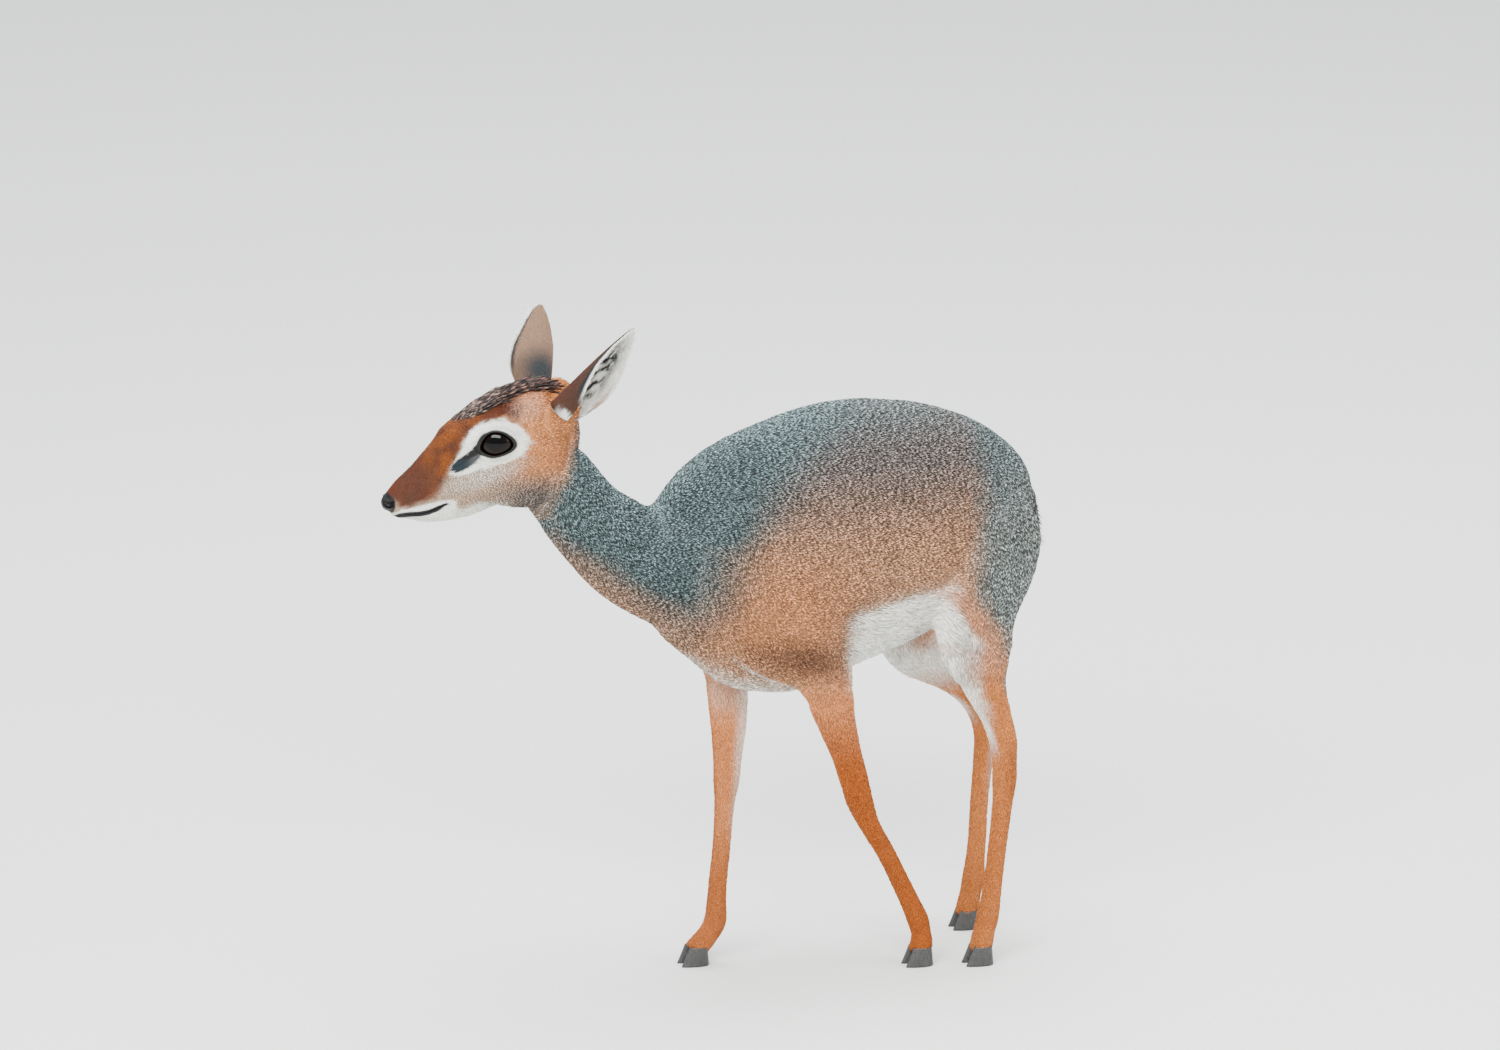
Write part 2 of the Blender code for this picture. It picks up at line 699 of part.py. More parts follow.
def ear(name, root, tip, opening, collection, guides):
    """A cupped, pointed ear: a curled sheet whose lower end closes to a funnel with a solid plug."""
    length = (tip - root).length
    along = (tip - root).normalized()
    opening = (opening - along * opening.dot(along)).normalized()
    across = along.cross(opening)
    shares, radii, angles = zip(*EAR_CUP)
    shape = bmesh.new()
    grid = []
    for share in np.linspace(0, 1, EAR_ROWS):
        radius = float(np.interp(share, shares, radii)) * MM
        curl = math.radians(float(np.interp(share, shares, angles)))
        back = radii[0] * MM * (1 - share)
        line = []
        for angle in np.linspace(-curl, curl, EAR_COLUMNS):
            depth = radius * (1 - math.cos(angle)) - back
            place = root + along * length * share + across * radius * math.sin(angle) + opening * depth
            line.append(shape.verts.new(place))
        grid.append(line)
    for low, high in zip(grid, grid[1:]):
        for j in range(EAR_COLUMNS - 1):
            shape.faces.new((low[j], low[j + 1], high[j + 1], high[j]))
    item = finished(name, shape, collection)
    wall = item.modifiers.new("wall", "SOLIDIFY")
    wall.thickness = EAR_THICKNESS
    wall.offset = 0
    apply_modifiers(item)
    foot = root / MM
    rows = [(*(foot + along * reach), radius, radius, radius) for reach, radius in EAR_PLUG]
    plug = loft(rows, guides, step=5, ring=14)
    fuse = item.modifiers.new("fuse", "BOOLEAN")
    fuse.operation = "UNION"
    fuse.object = plug
    apply_modifiers(item)
    bpy.data.objects.remove(plug)
    return item


def puffed(item, collection):
    """A copy of the object whose surface stands out by the gap between neighbours."""
    copy = new_object("puffed", item.data.copy(), collection)
    push = copy.modifiers.new("push", "DISPLACE")
    push.strength = GAP
    push.mid_level = 0
    return apply_modifiers(copy)


def only_largest(item):
    """Keeps the object's largest closed surface."""
    pieces = loose_pieces(item)
    item.data = pieces[0][0]
    return item


def crest(head, collection):
    """Flat tapered locks along the crown, lying back between the ears."""
    rng = np.random.default_rng(11)
    frame = head_frame()
    back = frame.inverted()
    skin = BVHTree.FromPolygons(
        [back @ v.co for v in head.data.vertices], [tuple(p.vertices) for p in head.data.polygons]
    )
    shape = bmesh.new()
    for k in range(CREST_LOCKS):
        share = (k + 0.5) / CREST_LOCKS
        back_from_nose = CREST_FROM + (CREST_TO - CREST_FROM) * share + rng.uniform(-1.5, 1.5) * MM
        across = CREST_HALF_WIDTH * (0.45 + 0.55 * share) * ((k * GOLDEN_SHARE) % 1 * 2 - 1)
        above = Vector((back_from_nose, across, 0.09))
        hit = skin.ray_cast(above, Vector((0, 0, -1)))[0]
        length = CREST_LENGTH * rng.uniform(0.8, 1.15)
        rise = CREST_RISE * rng.uniform(0.8, 1.2) * (0.75 + 0.35 * share)
        lean = 0.25 * across + rng.uniform(-1.5, 1.5) * MM
        half_width = CREST_LOCK_HALF_WIDTH * rng.uniform(0.84, 1.16)
        lock(shape, hit, length, rise, lean, half_width, rng.uniform(-0.4, 0.4))
    item = finished("crest", shape, collection)
    item.matrix_world = frame
    return item


def lock(shape, root, length, rise, lean, half_width, roll):
    """One flat tapered lock that leaves the skin steeply and bends back, in the head's frame."""
    flat = Vector((0, math.cos(roll), math.sin(roll)))
    loops = []
    for share, size in LOCK_SECTIONS:
        height = rise * math.sin(min(1.0, share * 1.5) * math.pi / 2)
        middle = root + Vector((length * share, lean * share, height - LOCK_SINK))
        thick = Vector((-0.35, 0, 1)).normalized() * LOCK_HALF_THICKNESS * size
        side = flat * half_width * size
        loops.append([shape.verts.new(middle + part) for part in (side, thick, -side, -thick)])
    tip = shape.verts.new(root + Vector((length, lean, rise * 0.80)))
    skin_between(shape, loops)
    shape.faces.new(loops[0])
    for k in range(4):
        shape.faces.new((loops[-1][k], loops[-1][(k + 1) % 4], tip))


def hoof(name, foot, side, collection):
    """One claw: pointed in front, round at the heel, flat below and sloping back to the coronet."""
    top = HOOF_HEIGHT - GAP
    shape = bmesh.new()
    loops = []
    for height in (0, 0.35 * top, top):
        share = height / top
        reach = HOOF_LENGTH * (1 - 0.2 * share) / 2
        half_width = HOOF_WIDTH * (1 - 0.08 * share) / 2
        middle = (2.0 * share - 1.5) * MM
        loop = []
        for angle in np.linspace(0, 2 * math.pi, HOOF_POINTS, endpoint=False):
            front = math.cos(angle)
            across = half_width * math.sin(angle) * (1 - HOOF_TAPER * front)
            loop.append(shape.verts.new((middle - reach * front, across, height)))
        loops.append(loop)
    skin_between(shape, loops)
    shape.faces.new(loops[0])
    shape.faces.new(loops[-1])
    shift = Vector((0, side * (HOOF_WIDTH * 1.08 + HOOF_CLEFT) / 2, 0))
    bmesh.ops.translate(shape, verts=shape.verts, vec=foot + shift)
    return finished(name, shape, collection)


def material(name, colour, roughness):
    made = bpy.data.materials.new(name)
    made.use_nodes = True
    shader = made.node_tree.nodes["Principled BSDF"]
    shader.inputs["Base Color"].default_value = colour
    shader.inputs["Roughness"].default_value = roughness
    return made


def set_on_origin(nodes):
    """Moves every node so that the origin lies on the floor under the middle of the bounding box."""
    corners = np.array([v.co[:] for node in nodes.values() for v in node.data.vertices])
    low, high = corners.min(axis=0), corners.max(axis=0)
    shift = Vector((-(low[0] + high[0]) / 2, -(low[1] + high[1]) / 2, -low[2]))
    for node in nodes.values():
        node.data.transform(Matrix.Translation(shift))


def finish_for(name):
    """The name of the finish that a node has."""
    for word, kind in (("hoof", "horn"), ("eye", "eye")):
        if word in name:
            return kind
    return "grey" if name in ("neck", "torso", "tail") else "rufous"


def main():
    clear_scene()
    parts = bpy.data.collections.new("dik_dik")
    guides = bpy.data.collections.new("cutters")
    for collection in (parts, guides):
        bpy.context.scene.collection.children.link(collection)
    nodes = parted_body(parts, guides)
    for name, place in (("left_ear", LEFT_EAR), ("right_ear", RIGHT_EAR)):
        nodes[name] = ear(name, *place, parts, guides)
        cut_with(nodes[name], [puffed(nodes["head"], guides)], "MANIFOLD")
        only_largest(nodes[name])
    finished_head(nodes["head"], guides)
    for name, side in (("left_eye", -1), ("right_eye", 1)):
        nodes[name] = eyeball(name, side, parts)
    nodes["tail"] = loft(TAIL, parts, **TAIL_MESH)
    nodes["tail"].name = "tail"
    for foot, place in FEET.items():
        for digit, side in (("left", -1), ("right", 1)):
            name = f"{foot}_hoof_{digit}"
            nodes[name] = hoof(name, place, side, parts)
    set_on_origin(nodes)
    finishes = {kind: material(*finish) for kind, finish in FINISHES.items()}
    for name, node in nodes.items():
        node.data.materials.clear()
        node.data.materials.append(finishes[finish_for(name)])
        node.data.shade_smooth()


main()
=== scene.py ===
"""A dik-dik dressed for show: skin, coat, crest, ears, eyes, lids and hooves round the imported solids.

Run in Blender 4.5. Lengths are metres unless a table says millimetres. The section tables are
written in the frame that the animal was drawn in, and model_shift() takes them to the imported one.
"""

import math
from functools import partial

import bmesh
import bpy
import numpy as np
from bpy.props import EnumProperty, FloatProperty, FloatVectorProperty, IntProperty, PointerProperty
from mathutils import Matrix, Vector, noise


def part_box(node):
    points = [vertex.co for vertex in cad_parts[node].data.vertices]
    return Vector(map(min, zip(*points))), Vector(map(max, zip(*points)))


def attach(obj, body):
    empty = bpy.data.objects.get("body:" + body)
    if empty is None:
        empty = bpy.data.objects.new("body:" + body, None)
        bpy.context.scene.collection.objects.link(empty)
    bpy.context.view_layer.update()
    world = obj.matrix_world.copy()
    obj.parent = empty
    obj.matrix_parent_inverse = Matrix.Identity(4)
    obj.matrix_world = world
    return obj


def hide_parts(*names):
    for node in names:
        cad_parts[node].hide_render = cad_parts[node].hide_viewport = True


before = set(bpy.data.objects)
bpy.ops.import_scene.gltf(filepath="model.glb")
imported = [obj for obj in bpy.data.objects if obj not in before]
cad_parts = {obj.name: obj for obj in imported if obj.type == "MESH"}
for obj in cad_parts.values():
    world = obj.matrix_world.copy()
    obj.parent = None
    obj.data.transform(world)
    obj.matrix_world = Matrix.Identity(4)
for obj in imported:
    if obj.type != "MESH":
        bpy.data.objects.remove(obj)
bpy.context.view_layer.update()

bl_info = {
    "name": "Dik-dik model",
    "version": (1, 0, 0),
    "blender": (4, 5, 0),
    "location": "3D View > Sidebar > Dik-dik",
    "description": "Skin, coat and fittings of a life-size standing dik-dik",
    "category": "Add Mesh",
}

MM = 0.001

# Trunk sections from breast to rump: x, centre height, rise, drop, half width, in millimetres
TRUNK = (
    (-164, 288, 18, 20, 17), (-154, 290, 38, 40, 32), (-136, 293, 66, 60, 43), (-113, 296, 86, 82, 50),
    (-83, 299, 99, 93, 55), (-50, 301, 107, 95, 59), (-15, 304, 110, 84, 62), (18, 307, 107, 76, 63),
    (48, 310, 98, 66, 61), (72, 310, 85, 58, 56), (92, 306, 69, 48, 49), (106, 300, 50, 40, 37),
    (114, 296, 28, 26, 24),
)

# Limb and neck sections along a path: x, y, z, half width, rear or nape radius, front or throat radius
MASSES = {
    "neck": (
        (-246, 8, 404, 20, 21, 30), (-227, 5, 380, 24, 28, 29), (-208, 3, 348, 27, 33, 28),
        (-190, 1, 330, 31, 36, 32), (-171, 0, 315, 36, 40, 36), (-150, 0, 307, 42, 51, 43),
        (-122, 0, 303, 45, 60, 57),
    ),
    "left_shoulder": (
        (-90, -26, 350, 16, 20, 20), (-100, -36, 330, 20, 28, 28), (-104, -42, 300, 20, 32, 32),
        (-80, -42, 262, 20, 32, 32), (-48, -42, 235, 18, 26, 24), (-35, -42, 208, 14, 17, 17),
    ),
    "right_shoulder": (
        (-100, 26, 350, 16, 20, 20), (-112, 36, 330, 20, 28, 28), (-116, 40, 300, 20, 32, 30),
        (-104, 38, 262, 20, 32, 28), (-91, 33, 235, 17, 23, 22), (-90, 26, 208, 13, 16, 16),
    ),
    "left_haunch": (
        (92, -24, 340, 20, 22, 26), (92, -32, 316, 25, 34, 44), (84, -39, 288, 26, 34, 48),
        (78, -46, 258, 22, 25, 38), (78, -49, 232, 17, 20.5, 32), (80, -49, 212, 13, 15, 22),
    ),
    "right_haunch": (
        (92, 24, 340, 20, 22, 26), (90, 32, 316, 25, 34, 44), (76, 38, 288, 26, 38, 50),
        (60, 41, 256, 23, 36, 38), (54, 41, 232, 19, 32, 26), (60, 40, 212, 14, 20, 20),
    ),
}
LEGS = {
    "left_foreleg": (
        (-42, -43, 236, 13, 18, 18), (-35.5, -42, 207, 12.5, 17, 17.3), (-30.5, -41, 189, 11, 14, 14.6),
        (-22.8, -39, 165, 9.8, 11.2, 11.6), (-16, -38, 142, 9.2, 10.4, 10.6),
        (-11.5, -37.5, 127, 8.8, 9.4, 10.2), (-4, -37, 108, 6.8, 7.6, 7.6), (8, -36, 87, 6.0, 6.9, 6.9),
        (19.2, -36, 63.6, 6.2, 7.0, 7.0), (26.2, -36, 48, 6.9, 7.5, 7.0), (32.3, -36, 33, 8.2, 8.6, 7.4),
        (35, -36, 24.5, 7.9, 7.4, 7.4), (36, -36, 17, 8.8, 7.8, 8.6), (35, -36, 11, 8.8, 8, 9),
    ),
    "right_foreleg": (
        (-90, 33, 236, 12.5, 17, 17), (-90, 25, 206, 12, 16, 15.5), (-90, 21, 178, 10.5, 13.8, 13.8),
        (-91, 20, 156, 9.5, 11.2, 11.2), (-92, 20, 134, 9, 9.6, 9.6), (-93.3, 20, 119, 7.6, 7.6, 7.6),
        (-94.5, 20, 102, 6.2, 7, 7), (-96, 20, 82, 5.8, 6.9, 6.9), (-98.4, 20, 60, 6.0, 7.1, 7.1),
        (-99.6, 19.5, 45, 6.8, 7.4, 7.4), (-101.5, 19, 31, 8.2, 9.0, 7.6), (-106, 19, 22, 8.2, 8.2, 7.6),
        (-112, 19, 15, 8.8, 8.4, 8.0), (-116, 19, 11, 8.8, 8.4, 8.0),
    ),
    "left_hindleg": (
        (78, -48, 240, 16, 22, 33), (78.5, -49, 217, 13, 16.5, 22), (82, -49, 200, 10.5, 13, 16),
        (87, -48.5, 182, 8.6, 12, 11), (91.5, -48, 164, 8.6, 11.6, 9.4), (93.5, -48, 148, 8.4, 9.6, 9),
        (93.7, -48, 134, 7.4, 9.2, 9.2), (92.3, -48, 118, 6.6, 7.8, 7.8), (88, -48.5, 83, 5.9, 7.1, 7.1),
        (84, -49, 53, 6.6, 7.4, 7.2), (81, -49, 36, 8.2, 8.8, 8), (79, -49, 27, 7.9, 8.2, 8),
        (77, -49, 17, 8.8, 8.2, 8.6), (76, -49, 11, 8.8, 8, 8.6),
    ),
    "right_hindleg": (
        (52, 41, 238, 17, 30, 26), (58, 40, 216, 15, 22, 24), (74, 38, 200, 12.5, 15, 19),
        (90, 35, 181, 10, 12.5, 9.5), (102, 32, 166, 8.6, 12, 8.6), (108, 31, 147, 8, 10, 8),
        (107.5, 31, 126, 6.6, 7.8, 7.6), (104.7, 31, 96, 5.9, 7.1, 7), (103, 31, 66, 5.9, 7.2, 7),
        (101.5, 31, 50, 6.8, 7.6, 7.2), (100, 31, 37, 8.2, 9, 8), (98.5, 31, 27, 7.9, 8, 8),
        (96.5, 31, 17, 8.8, 8.2, 8.6), (95.5, 31, 11, 8.8, 8.2, 8.6),
    ),
}
TAIL = (
    (98, 0, 352, 8, 8, 8), (112, 0, 349, 8, 7.5, 7.5), (124, 0, 339, 7.5, 6, 6),
    (130.5, 0, 325, 7, 4.5, 5), (133.5, 0, 308, 6, 3.5, 4), (133.5, 0, 294, 3.2, 2.0, 2.2),
)

# The head's own frame: t back from the nose tip, y to the animal's right, z towards the crown
NOSE_TIP = Vector((-345, 29, 363.5)) * MM
HEAD_PITCH = math.radians(15.3)
HEAD_YAW = math.radians(12.0)
# Head sections: t, centre height, rise, drop, half width, fullness of the upper half
HEAD = (
    (1.5, 0, 5.5, 5.5, 6, 0.0), (5, 0, 8.5, 9.5, 8.6, 0.0), (11, 0, 12.5, 14.5, 10.6, -0.08),
    (20, 1, 16.0, 21.5, 12, -0.12), (32, 3, 20, 28, 13.2, -0.12), (45, 6, 25, 33, 15.0, -0.05),
    (58, 9, 30.5, 36, 18.0, 0.05), (70, 13, 33, 40, 21.5, 0.12), (84, 16, 34.5, 43, 24.5, 0.14),
    (98, 17, 36, 47, 26.0, 0.12), (112, 16, 37, 53, 26.0, 0.06), (123, 13, 36, 55, 25.0, 0.0),
    (132, 11, 30, 46, 22, 0.0), (138, 9, 19, 26, 15, 0.0),
)
CHEEK = (
    (56, 9, -3, 4, 6, 6), (76, 15, -7, 7, 12, 12), (98, 17.5, -11, 9, 17, 17), (118, 14, -12, 8, 15, 15),
)
BROW = ((70, 17, 27, 5, 5, 5), (82, 22, 35, 6, 6, 6), (96, 23.5, 36, 6, 6, 6), (108, 22, 31, 5, 5, 5))
EAR_BOSS = ((124, 15, 20, 9, 9, 9), (137, 20, 30, 10, 11, 11), (143, 24, 38, 9, 9, 9))
NOSE_PAD = (Vector((4.6, 3.4, 1.2)) * MM, Vector((4.6, 4.8, 5.6)) * MM)
UPPER_LIP = (Vector((12, 6.0, -7.0)) * MM, Vector((9.0, 4.6, 4.4)) * MM)

# The right eye in the head's frame; the left one is its reflection
EYE_CENTRE = Vector((89, 16.6, 27.5)) * MM
EYE_RADIUS = 14.5 * MM
EYE_AXIS = Vector((-0.20, 0.96, 0.17)).normalized()
# The visible eyeball: its radius, and how far it lies from the solid one's middle in the eye's frame
EYEBALL_RADIUS = 14.1 * MM
EYEBALL_SINK = Vector((0, -1.2, -0.2)) * MM
LID_COVER = 2.2 * MM
# The almond of the eye's opening in the eye's frame: its middle, its half sizes, how far its front and
# back corners hang, and how much its front end is pinched
LID_MIDDLE = (-0.1 * MM, -2.0 * MM)
LID_HALF = (12.5 * MM, 8.9 * MM)
LID_DROP = (1.4 * MM, 3.0 * MM)
LID_PINCH = 0.34
# The bead of moist skin on the lids' edge: its radius, and how far its middle stands off the eyeball
LID_BEAD = 0.6 * MM
LID_LIFT = 0.35 * MM

# The line of the mouth, t and z in the head's frame, from in front of the lips to their corner
MOUTH = ((-6, -12), (2, -9.6), (8, -8.8), (14, -9.6), (22, -11.4), (28, -11.9), (34, -11.2), (41, -9.6))
MOUTH_SLOT = 1.0 * MM
MOUTH_REACH = 26 * MM
NOSTRIL = ((1.0, 4.6, 2.4), (2.8, 6.2, 0.7), (5.0, 7.8, 0.6), (7.2, 8.9, 2.0))
NOSTRIL_RADII = (1.5, 2.4, 2.1, 0.9)

# Ears: root and tip in the sections' frame, and the way the cup opens
LEFT_EAR = (Vector((-229, -21, 433)) * MM, Vector((-185, -45, 496)) * MM, Vector((0.45, -0.82, -0.35)))
RIGHT_EAR = (Vector((-233, 24, 431)) * MM, Vector((-220, 50, 491)) * MM, Vector((-0.34, 0.89, -0.22)))
EAR_THICKNESS = 1.1 * MM
EAR_ROWS = 80
EAR_COLUMNS = 61
# The cup's section along the ear: share of its length, radius in millimetres, half angle in degrees
EAR_CUP = (
    (0, 10.0, 155), (0.2, 12.8, 125), (0.4, 17.0, 90), (0.6, 19.5, 62), (0.8, 16.5, 46), (0.92, 10.5, 42),
    (0.98, 4.5, 40), (1, 1.4, 36),
)

# The grids that melt the forms together, the rounds of smoothing, and the share of triangles kept
COARSE_VOXEL = 3.0 * MM
COARSE_ROUNDS = 16
SKIN_VOXEL = 1.5 * MM
SKIN_ROUNDS = 5
SKIN_SHARE = 0.3
RING_POINTS = 28
PATH_STEP = 8.0
# Turns of the rings that round off the end of a form, in degrees
CAP_TURNS = (75, 50, 25)

SIDES = ("left", "right")
LENGTHS = (("ear",), ("forearm", "fore_cannon"), ("gaskin", "hind_cannon"))
FLESH = (
    "head", "neck", "torso", "tail",
    *(f"{side}_{name}" for group in LENGTHS for side in SIDES for name in group),
)


def linear(code):
    """A colour written as sRGB hex, as linear red, green and blue."""
    values = [int(code[i : i + 2], 16) / 255 for i in (1, 3, 5)]
    return tuple(v / 12.92 if v <= 0.04045 else ((v + 0.055) / 1.055) ** 2.4 for v in values)


def colour_property(name, description, code):
    return FloatVectorProperty(
        name=name, description=description, subtype="COLOR", size=3, min=0, max=1, default=linear(code)
    )


class CoatColours(bpy.types.PropertyGroup):
    """The colours that the markings are mixed from."""

    grey: colour_property("Grey", "Cool salt-and-pepper grey of neck and rump", "#617274")
    dun: colour_property("Dun", "Brown-grey of the back", "#6F6663")
    tan: colour_property("Tan", "Warm tan of the flank", "#B38464")
    orange: colour_property("Orange", "Orange-tan of legs and shoulder", "#C67023")
    rufous: colour_property("Rufous", "Bright red-brown of muzzle and forehead", "#562204")
    umber: colour_property("Umber", "Dark brown of the crest and muzzle side", "#4E2F20")
    fawn: colour_property("Fawn", "Pale pinkish tan of the cheek", "#B89A82")
    cream: colour_property("Cream", "White of belly, eye ring and lips", "#F4F1EA")
    slate: colour_property("Slate", "Bare slate skin of the gland and inner ear", "#12222A")
    black: colour_property("Black", "Near-black of nose, lids and line of mouth", "#0A0909")


class CoatSizes(bpy.types.PropertyGroup):
    """Sizes of the tufts."""

    length: FloatProperty(
        name="Length", description="Share of each tuft's own length", default=1.0, min=0.3, max=2
    )
    width: FloatProperty(
        name="Width", description="Share of each tuft's own width", default=1.0, min=0.3, max=3
    )
    seed: IntProperty(name="Seed", description="Seed of the tufts' places and shades", default=7, min=0)


class StageSizes(bpy.types.PropertyGroup):
    """Camera and light of the stage."""

    distance: FloatProperty(
        name="Distance", description="Camera to animal", default=12.0, min=2, unit="LENGTH"
    )
    azimuth: FloatProperty(
        name="Azimuth", description="Turn of the camera", default=math.radians(-20), subtype="ANGLE"
    )
    elevation: FloatProperty(
        name="Elevation", description="Height of the camera", default=math.radians(17), subtype="ANGLE"
    )
    daylight: FloatProperty(name="Daylight", description="Strength of the key light", default=1.0, min=0)


def head_frame():
    """The matrix from the head's own frame to the sections' frame."""
    flat = Vector((math.cos(HEAD_YAW), -math.sin(HEAD_YAW), 0))
    up = Vector((0, 0, 1))
    back = flat * math.cos(HEAD_PITCH) + up * math.sin(HEAD_PITCH)
    crown = up * math.cos(HEAD_PITCH) - flat * math.sin(HEAD_PITCH)
    side = crown.cross(back)
    placed = Matrix((back, side, crown)).transposed().to_4x4()
    placed.translation = NOSE_TIP
    return placed


def eye_frame():
    """The right eye's frame in the head's: x towards the back corner, y up, z out through the pupil."""
    back = Vector((1, 0, 0))
    back = (back - EYE_AXIS * back.dot(EYE_AXIS)).normalized()
    up = back.cross(EYE_AXIS)
    if up.z < 0:
        up.negate()
    placed = Matrix((back, up, EYE_AXIS)).transposed().to_4x4()
    placed.translation = EYE_CENTRE
    return placed


def model_shift():
    """From the sections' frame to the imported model's, read from where the right eye lies."""
    low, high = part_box("right_eye")
    return (low + high) / 2 - head_frame() @ EYE_CENTRE


def into(placed, places):
    """Places in millimetres, as the frame with this matrix has them."""
    inverse = placed.inverted()
    return (places * MM) @ np.array(inverse.to_3x3()).T / MM + np.array(inverse.translation) / MM


def new_object(name, data):
    item = bpy.data.objects.new(name, data)
    bpy.context.scene.collection.objects.link(item)
    return item


def mesh_from(name, shape):
    """The bmesh made a mesh, and freed."""
    mesh = bpy.data.meshes.new(name)
    shape.to_mesh(mesh)
    shape.free()
    return mesh


def finished(name, shape):
    """An object from the bmesh, with its faces pointing out."""
    bmesh.ops.recalc_face_normals(shape, faces=shape.faces)
    return new_object(name, mesh_from(name, shape))


def evaluated_mesh(item):
    """The object's mesh with its modifiers applied."""
    graph = bpy.context.evaluated_depsgraph_get()
    graph.update()
    return bpy.data.meshes.new_from_object(item.evaluated_get(graph))


def modify(item, kind, **settings):
    """Adds a modifier with its settings."""
    added = item.modifiers.new(kind.lower(), kind)
    for name, value in settings.items():
        setattr(added, name, value)
    return added


def apply_modifiers(item):
    mesh = evaluated_mesh(item)
    item.modifiers.clear()
    item.data = mesh
    return item


def circle(count):
    """Even angles once round."""
    return np.linspace(0, 2 * math.pi, count, endpoint=False)


def skin_between(shape, loops, closed=False):
    """Four-sided faces between each loop of points and the next, and one over each end if closed."""
    for low, high in zip(loops, loops[1:]):
        count = len(low)
        for k in range(count):
            shape.faces.new((low[k], low[(k + 1) % count], high[(k + 1) % count], high[k]))
    if closed:
        shape.faces.new(loops[0])
        shape.faces.new(loops[-1])


def fan(shape, loop, pole):
    """Three-sided faces from a loop of points to one more point."""
    for k, point in enumerate(loop):
        shape.faces.new((point, loop[(k + 1) % len(loop)], pole))


def resampled(rows, step):
    """Rows of a section table joined by a smooth curve, about one row for each step along its path."""
    rows = np.array(rows, float)
    padded = np.vstack([2 * rows[0] - rows[1], rows, 2 * rows[-1] - rows[-2]])
    made = []
    for i in range(1, len(padded) - 2):
        before, start, end, after = padded[i - 1 : i + 3]
        count = max(2, math.ceil(np.linalg.norm(end[:3] - start[:3]) / step))
        for k in range(count):
            u = k / count
            second = 2 * before - 5 * start + 4 * end - after
            third = 3 * start - before - 3 * end + after
            made.append(0.5 * (2 * start + (end - before) * u + second * u**2 + third * u**3))
    made.append(rows[-1])
    return np.array(made)


def loft(rows, step=6.0, cap=0.6, ring=RING_POINTS, fullness=None):
    """A closed tube through sections of x, y, z, half width, rear radius and front radius."""
    fullness = np.zeros(len(rows)) if fullness is None else fullness
    table = resampled(np.column_stack([np.array(rows, float), fullness]), step)
    tangents = np.gradient(table[:, :3], axis=0)
    tangents /= np.linalg.norm(tangents, axis=1)[:, None]
    rings = []
    for tangent, row in zip(tangents, table):
        side = np.array((0.0, 1.0, 0.0)) - tangent * tangent[1]
        side /= np.linalg.norm(side)
        rings.append((row[:3], side, np.cross(tangent, side), row[3:6], row[6]))
    ends = []
    for (centre, side, rise, radii, full), out in ((rings[0], -tangents[0]), (rings[-1], tangents[-1])):
        turns = [(math.sin(a), math.cos(a)) for a in np.radians(CAP_TURNS)]
        ends.append([(centre + out * s * cap * radii[0], side, rise, radii * c, full) for s, c in turns])
    shape = bmesh.new()
    loops = []
    for centre, side, rise, radii, full in ends[0] + rings + ends[1][::-1]:
        loop = []
        for angle in circle(ring):
            across = radii[0] * math.cos(angle) * (1 + full * math.sin(angle))
            along = (radii[1] if math.sin(angle) > 0 else radii[2]) * math.sin(angle)
            loop.append(shape.verts.new((centre + side * across + rise * along) * MM))
        loops.append(loop)
    skin_between(shape, loops)
    for loop in (loops[0], loops[-1]):
        fan(shape, loop, shape.verts.new(sum((v.co for v in loop), Vector()) / ring))
    return finished("loft", shape)


def upright(table):
    """Rows for loft() from rows of place along, centre height, rise, drop and half width."""
    along, height, rise, drop, half = np.array(table, float).T[:5]
    return np.column_stack([along, np.zeros(len(along)), height, half, rise, drop])


def joined(name, items):
    """One object that holds the meshes of several, which are removed."""
    shape = bmesh.new()
    for item in items:
        mesh = evaluated_mesh(item)
        mesh.transform(item.matrix_world)
        shape.from_mesh(mesh)
        bpy.data.meshes.remove(mesh)
        bpy.data.objects.remove(item)
    return new_object(name, mesh_from(name, shape))


def blended(item, voxel, rounds):
    """Overlapping closed forms made one surface, with the creases between them smoothed."""
    modify(item, "REMESH", mode="VOXEL", voxel_size=voxel)
    modify(item, "SMOOTH", factor=0.5, iterations=rounds)
    return apply_modifiers(item)


def eye_outline(angles, size=1.0):
    """The almond edge of the eye's opening at each angle: places across and up in the eye's frame."""
    across, rise = np.cos(angles), np.sin(angles)
    front = across < 0
    drop = np.where(front, LID_DROP[0], LID_DROP[1]) * across**2
    pinch = 1 - LID_PINCH * front * across**2
    x = LID_MIDDLE[0] + size * LID_HALF[0] * across
    y = LID_MIDDLE[1] + size * (LID_HALF[1] * rise * pinch - drop)
    return x, y


def lid_share(across, rise):
    """How far out a place lies from the middle of the eye's opening: 1 on its edge."""
    middle = (LID_MIDDLE[0], LID_MIDDLE[1] - LID_DROP[0])
    x, y = eye_outline(np.linspace(-math.pi, math.pi, 181))
    turn = np.arctan2(y - middle[1], x - middle[0])
    order = np.argsort(turn)
    reach = np.hypot(x - middle[0], y - middle[1])
    out, up = across * MM - middle[0], rise * MM - middle[1]
    edge = np.interp(np.arctan2(up, out), turn[order], reach[order], period=2 * math.pi)
    return np.hypot(out, up) / edge


